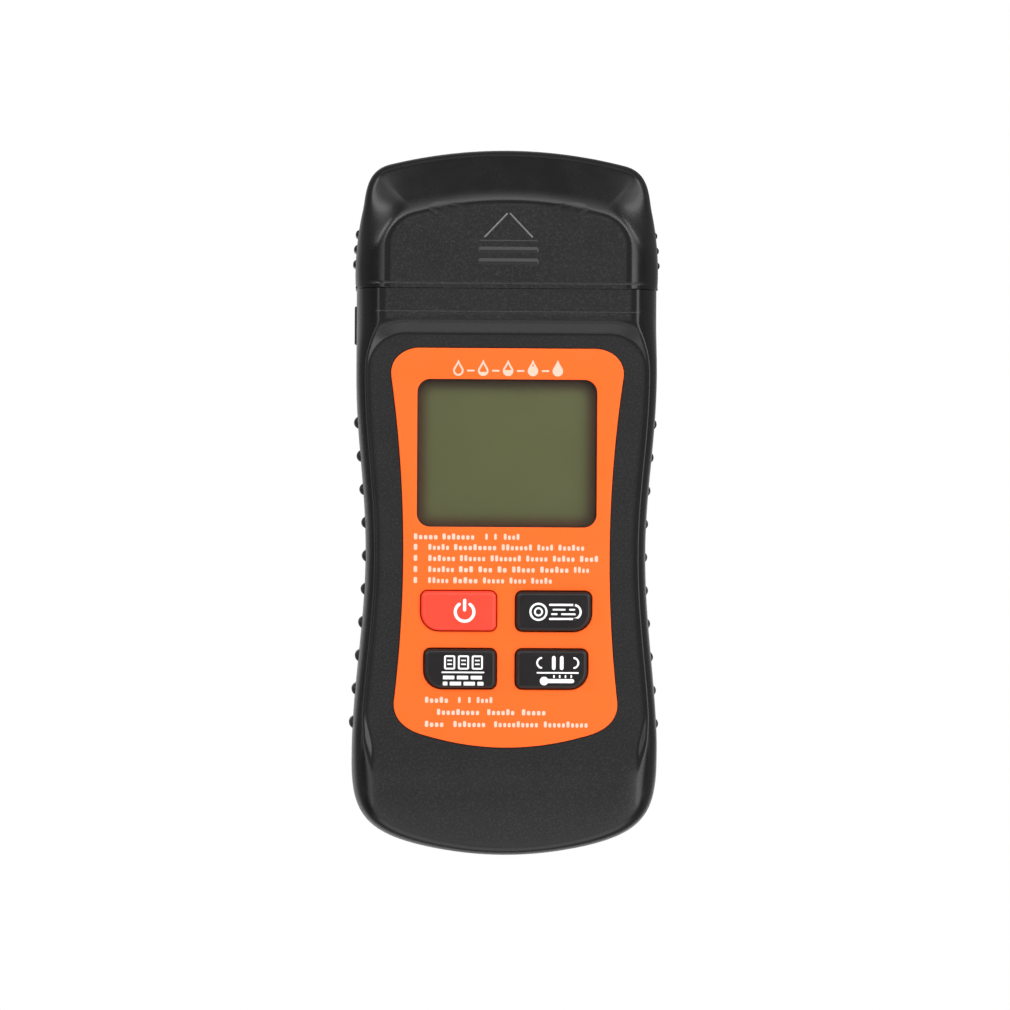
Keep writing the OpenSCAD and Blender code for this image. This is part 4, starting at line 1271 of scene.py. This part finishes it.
def build_cell(i):
    """Dry cell: sleeve that is shrunk over both ends of the can, a steel base and a raised contact."""
    x, h = (i - 1) * CELL_PITCH, CELL_CAN
    up = i != 1
    low = BAY_HIGH_Y - CELL_GAP - h if up else BAY_LOW_Y + CELL_GAP
    end = [(4.3, 0.1), (4.35, 0.0), (4.75, 0.02), (5.08, 0.14), (5.22, 0.42), (CELL_R, 0.8)]
    sleeve = end + [(r, h - y) for r, y in reversed(end)]
    can = [(0, 0.16), (2.4, 0.16), (2.9, 0.04), (4.1, 0.04), (4.4, 0.18), (4.4, h - 0.18), (3.2, h - 0.14),
           (2.6, h - 0.3), (2.15, h - 0.3), (1.9, h - 0.1), (1.9, h + 0.75), (1.7, h + 0.97), (1.2, h + 1.0),
           (0, h + 1.0)]
    looks = ((sleeve, "sleeve", CELL, "cell_wrap"), (can, "can", TIN, "tinned_metal"))
    for profile, label, material, slot in looks:
        at, axis = ((x, low, CELL_Z), "y") if up else ((x, low + h, CELL_Z), "-y")
        obj = turned(profile, at, axis, 56, "cell_%d_%s" % (i + 1, label))
        y = coords(obj)[:, 1]
        attribute(obj, "along", (y - low) / h if up else (low + h - y) / h)
        put(shade(obj), "case", material, "battery_cell_%d" % (i + 1))


for i in range(3):
    build_cell(i)


def spring_curve(x, start, end, wire_r=0.25, coils=4.6, closed_coils=0.6, count=240):
    """Conical spring along Y from start to end, with a flat closed coil at its start."""
    curve = bpy.data.curves.new("spring", "CURVE")
    curve.dimensions = "3D"
    curve.bevel_depth = wire_r * MM
    curve.bevel_resolution = 3
    curve.use_fill_caps = True
    spline = curve.splines.new("POLY")
    spline.points.add(count)
    inset_y = math.copysign(wire_r + 0.01, end - start)
    for k, point in enumerate(spline.points):
        t = k / count
        climb = max(0.0, (coils * t - closed_coils) / (coils - closed_coils))
        r, a = 3.4 - 1.2 * t, 2 * math.pi * coils * t
        y = start + inset_y + (end - start - 2 * inset_y) * climb
        point.co = ((x + r * math.cos(a)) * MM, y * MM, (CELL_Z + r * math.sin(a)) * MM, 1)
    return curve


def build_springs():
    """A spring behind each cell, at the end of the bay that its base looks to."""
    objs = []
    for i in range(3):
        start, end = BAY_LOW_Y + 0.3, BAY_HIGH_Y - CELL_GAP - CELL_CAN
        if i == 1:
            start, end = BAY_HIGH_Y - 0.3, BAY_LOW_Y + CELL_GAP + CELL_CAN
        objs.append(linked("spring", curve_mesh(spring_curve((i - 1) * CELL_PITCH, start, end))))
    return merged("contact_springs", objs)


put(shade(build_springs(), 60), "case", TIN, "battery_springs")

# ---- CAD nodes that keep their shape ----

for node, material, width in (
        ("power_plunger", NYLON, 0.15), ("wood_plunger", NYLON, 0.15), ("paper_wall_plunger", NYLON, 0.15),
        ("hold_plunger", NYLON, 0.15), ("tact_switches", EPOXY, 0.12), ("lcd_reflector", NYLON, 0.05),
        ("lcd_holder", WHITE_ABS, 0.15), ("zebra_strips", ELASTOMER, 0.1), ("main_pcb", BOARD, 0.06),
        ("controller_chip", EPOXY, 0.08), ("amplifier_chip", EPOXY, 0.08), ("crystal", TIN, 0.3),
        ("smd_parts", CERAMIC, 0.06), ("buzzer", EPOXY, 0.25), ("temperature_sensor", EPOXY, 0),
        ("socket_contacts", BRASS, 0.05), ("battery_plates", TIN, 0.06), ("battery_lead_red", RED_WIRE, 0),
        ("battery_lead_black", BLACK_WIRE, 0)):
    obj = NODES[node]
    obj.data.materials.clear()
    obj.data.materials.append(material)
    if width:
        soften(obj, width, 2, 40)

# ---- Floor, lights and camera ----


def build_floor():
    mesh = bpy.data.meshes.new("floor")
    mesh.from_pydata([(-3, -3, 0), (3, -3, 0), (3, 3, 0), (-3, 3, 0)], [], [(0, 1, 2, 3)])
    floor = linked("floor", mesh)
    n = Nodes("pale_floor")
    # White under and beside the object, whose rims mirror it, and darker further out.
    away = n.add("ShaderNodeVectorMath", operation="LENGTH")
    n.link(n.stretched(2.1, 1, 1, (0.014, 0.03, 0)), away.inputs[0])
    grey = n.mix(n.ramp(away.outputs["Value"], 0.08, 0.14), (0.8, 0.8, 0.8), (0.16, 0.16, 0.16))
    n.set(color=grey, rough=0.9, specular=0.0)
    lit = n.add("ShaderNodeEmission")
    lit.inputs["Color"].default_value = (1, 1, 1, 1)
    clear = n.add("ShaderNodeBsdfTransparent")
    back = n.add("ShaderNodeNewGeometry")
    path = n.add("ShaderNodeLightPath")
    seen, choose = n.add("ShaderNodeMixShader"), n.add("ShaderNodeMixShader")
    n.link(path.outputs["Is Camera Ray"], seen.inputs[0])
    n.link(n.shader.outputs[0], seen.inputs[1])
    n.link(lit.outputs[0], seen.inputs[2])
    # Clear from below, and for what lies right on it, so that the back can be seen and lit.
    near = n.math("LESS_THAN", path.outputs["Ray Length"], 0.006)
    n.link(n.math("MAXIMUM", back.outputs["Backfacing"], near), choose.inputs[0])
    n.link(seen.outputs[0], choose.inputs[1])
    n.link(clear.outputs[0], choose.inputs[2])
    n.link(choose.outputs[0], n.tree.nodes["Material Output"].inputs["Surface"])
    mesh.materials.append(n.material)


def build_world():
    """Pale backdrop for the camera, and dim light for everything else."""
    world = bpy.data.worlds.new("studio")
    bpy.context.scene.world = world
    world.use_nodes = True
    tree = world.node_tree
    tree.nodes.clear()
    mix = tree.nodes.new("ShaderNodeMixShader")
    for socket, grey, strength in ((1, 1.0, 0.1), (2, 0.97, 1.0)):
        background = tree.nodes.new("ShaderNodeBackground")
        background.inputs["Color"].default_value = (grey, grey, grey, 1)
        background.inputs["Strength"].default_value = strength
        tree.links.new(background.outputs[0], mix.inputs[socket])
    path = tree.nodes.new("ShaderNodeLightPath")
    tree.links.new(path.outputs["Is Camera Ray"], mix.inputs[0])
    tree.links.new(mix.outputs[0], tree.nodes.new("ShaderNodeOutputWorld").inputs[0])


def softbox(name, at, size, radiance, aim=(0, 0, 0)):
    data = bpy.data.lights.new(name, "AREA")
    data.shape = "RECTANGLE"
    data.size, data.size_y = size
    data.energy = radiance * size[0] * size[1] * math.pi
    obj = linked(name, data)
    obj.location = at
    obj.rotation_euler = (Vector(aim) - Vector(at)).to_track_quat("-Z", "Y").to_euler()


build_floor()
build_world()
softbox("overhead", (0, -0.5, 1.6), (1.6, 1.8), 0.26, (0, -0.5, 0))
softbox("top_strip", (0, 1.2, 1.3), (2.8, 0.8), 3.3)
softbox("left_strip", (-1.2, -0.1, 1.3), (2.4, 0.75), 1.9)
softbox("right_strip", (1.25, -0.1, 1.2), (2.4, 0.95), 3.5)
softbox("tail_strip", (0, -1.3, 1.2), (2.6, 0.5), 1.5)
softbox("front_fill", (0, -2.2, 0.75), (2.6, 0.9), 1.8)
softbox("left_corner", (-1.3, 0.76, 0.37), (0.75, 0.26), 7)
softbox("left_corner_high", (-0.95, 0.9, 1.4), (0.8, 0.35), 3)
softbox("right_corner", (1.3, 0.76, 0.37), (0.75, 0.26), 6)
softbox("right_corner_high", (0.95, 0.9, 1.4), (0.8, 0.35), 2)
softbox("back_low", (0, 0.7, 0.07), (1.2, 0.14), 0.9, (0, 0.07, 0.02))
softbox("underneath", (0, 0, -1.3), (1.8, 1.8), 1.0)
softbox("tail_low", (0, -0.7, 0.09), (1.2, 0.18), 0.5, (0, -0.07, 0.02))
softbox("left_tail", (-0.35, -0.1, 0.1), (0.14, 0.14), 0.9, (0, -0.06, 0.02))
softbox("right_tail", (0.35, -0.1, 0.1), (0.14, 0.14), 1.0, (0, -0.06, 0.02))

camera_data = bpy.data.cameras.new("camera")
camera_data.lens = 200
camera_data.sensor_width = 36
camera_data.clip_start = 0.01
camera = linked("camera", camera_data)
# The view is almost square on, a little from the left, and 201 mm across at the height of the face.
view_width, face_height = 0.201, 0.008
turned_by = Euler((0, math.radians(-1.8), math.radians(0.35)))
reach = view_width * camera_data.lens / camera_data.sensor_width + face_height
camera.location = Vector((-0.0001, -0.0004, 0.017)) + turned_by.to_matrix() @ Vector((0, 0, reach))
camera.rotation_euler = turned_by
bpy.context.scene.camera = camera
bpy.context.scene.view_settings.view_transform = "Standard"
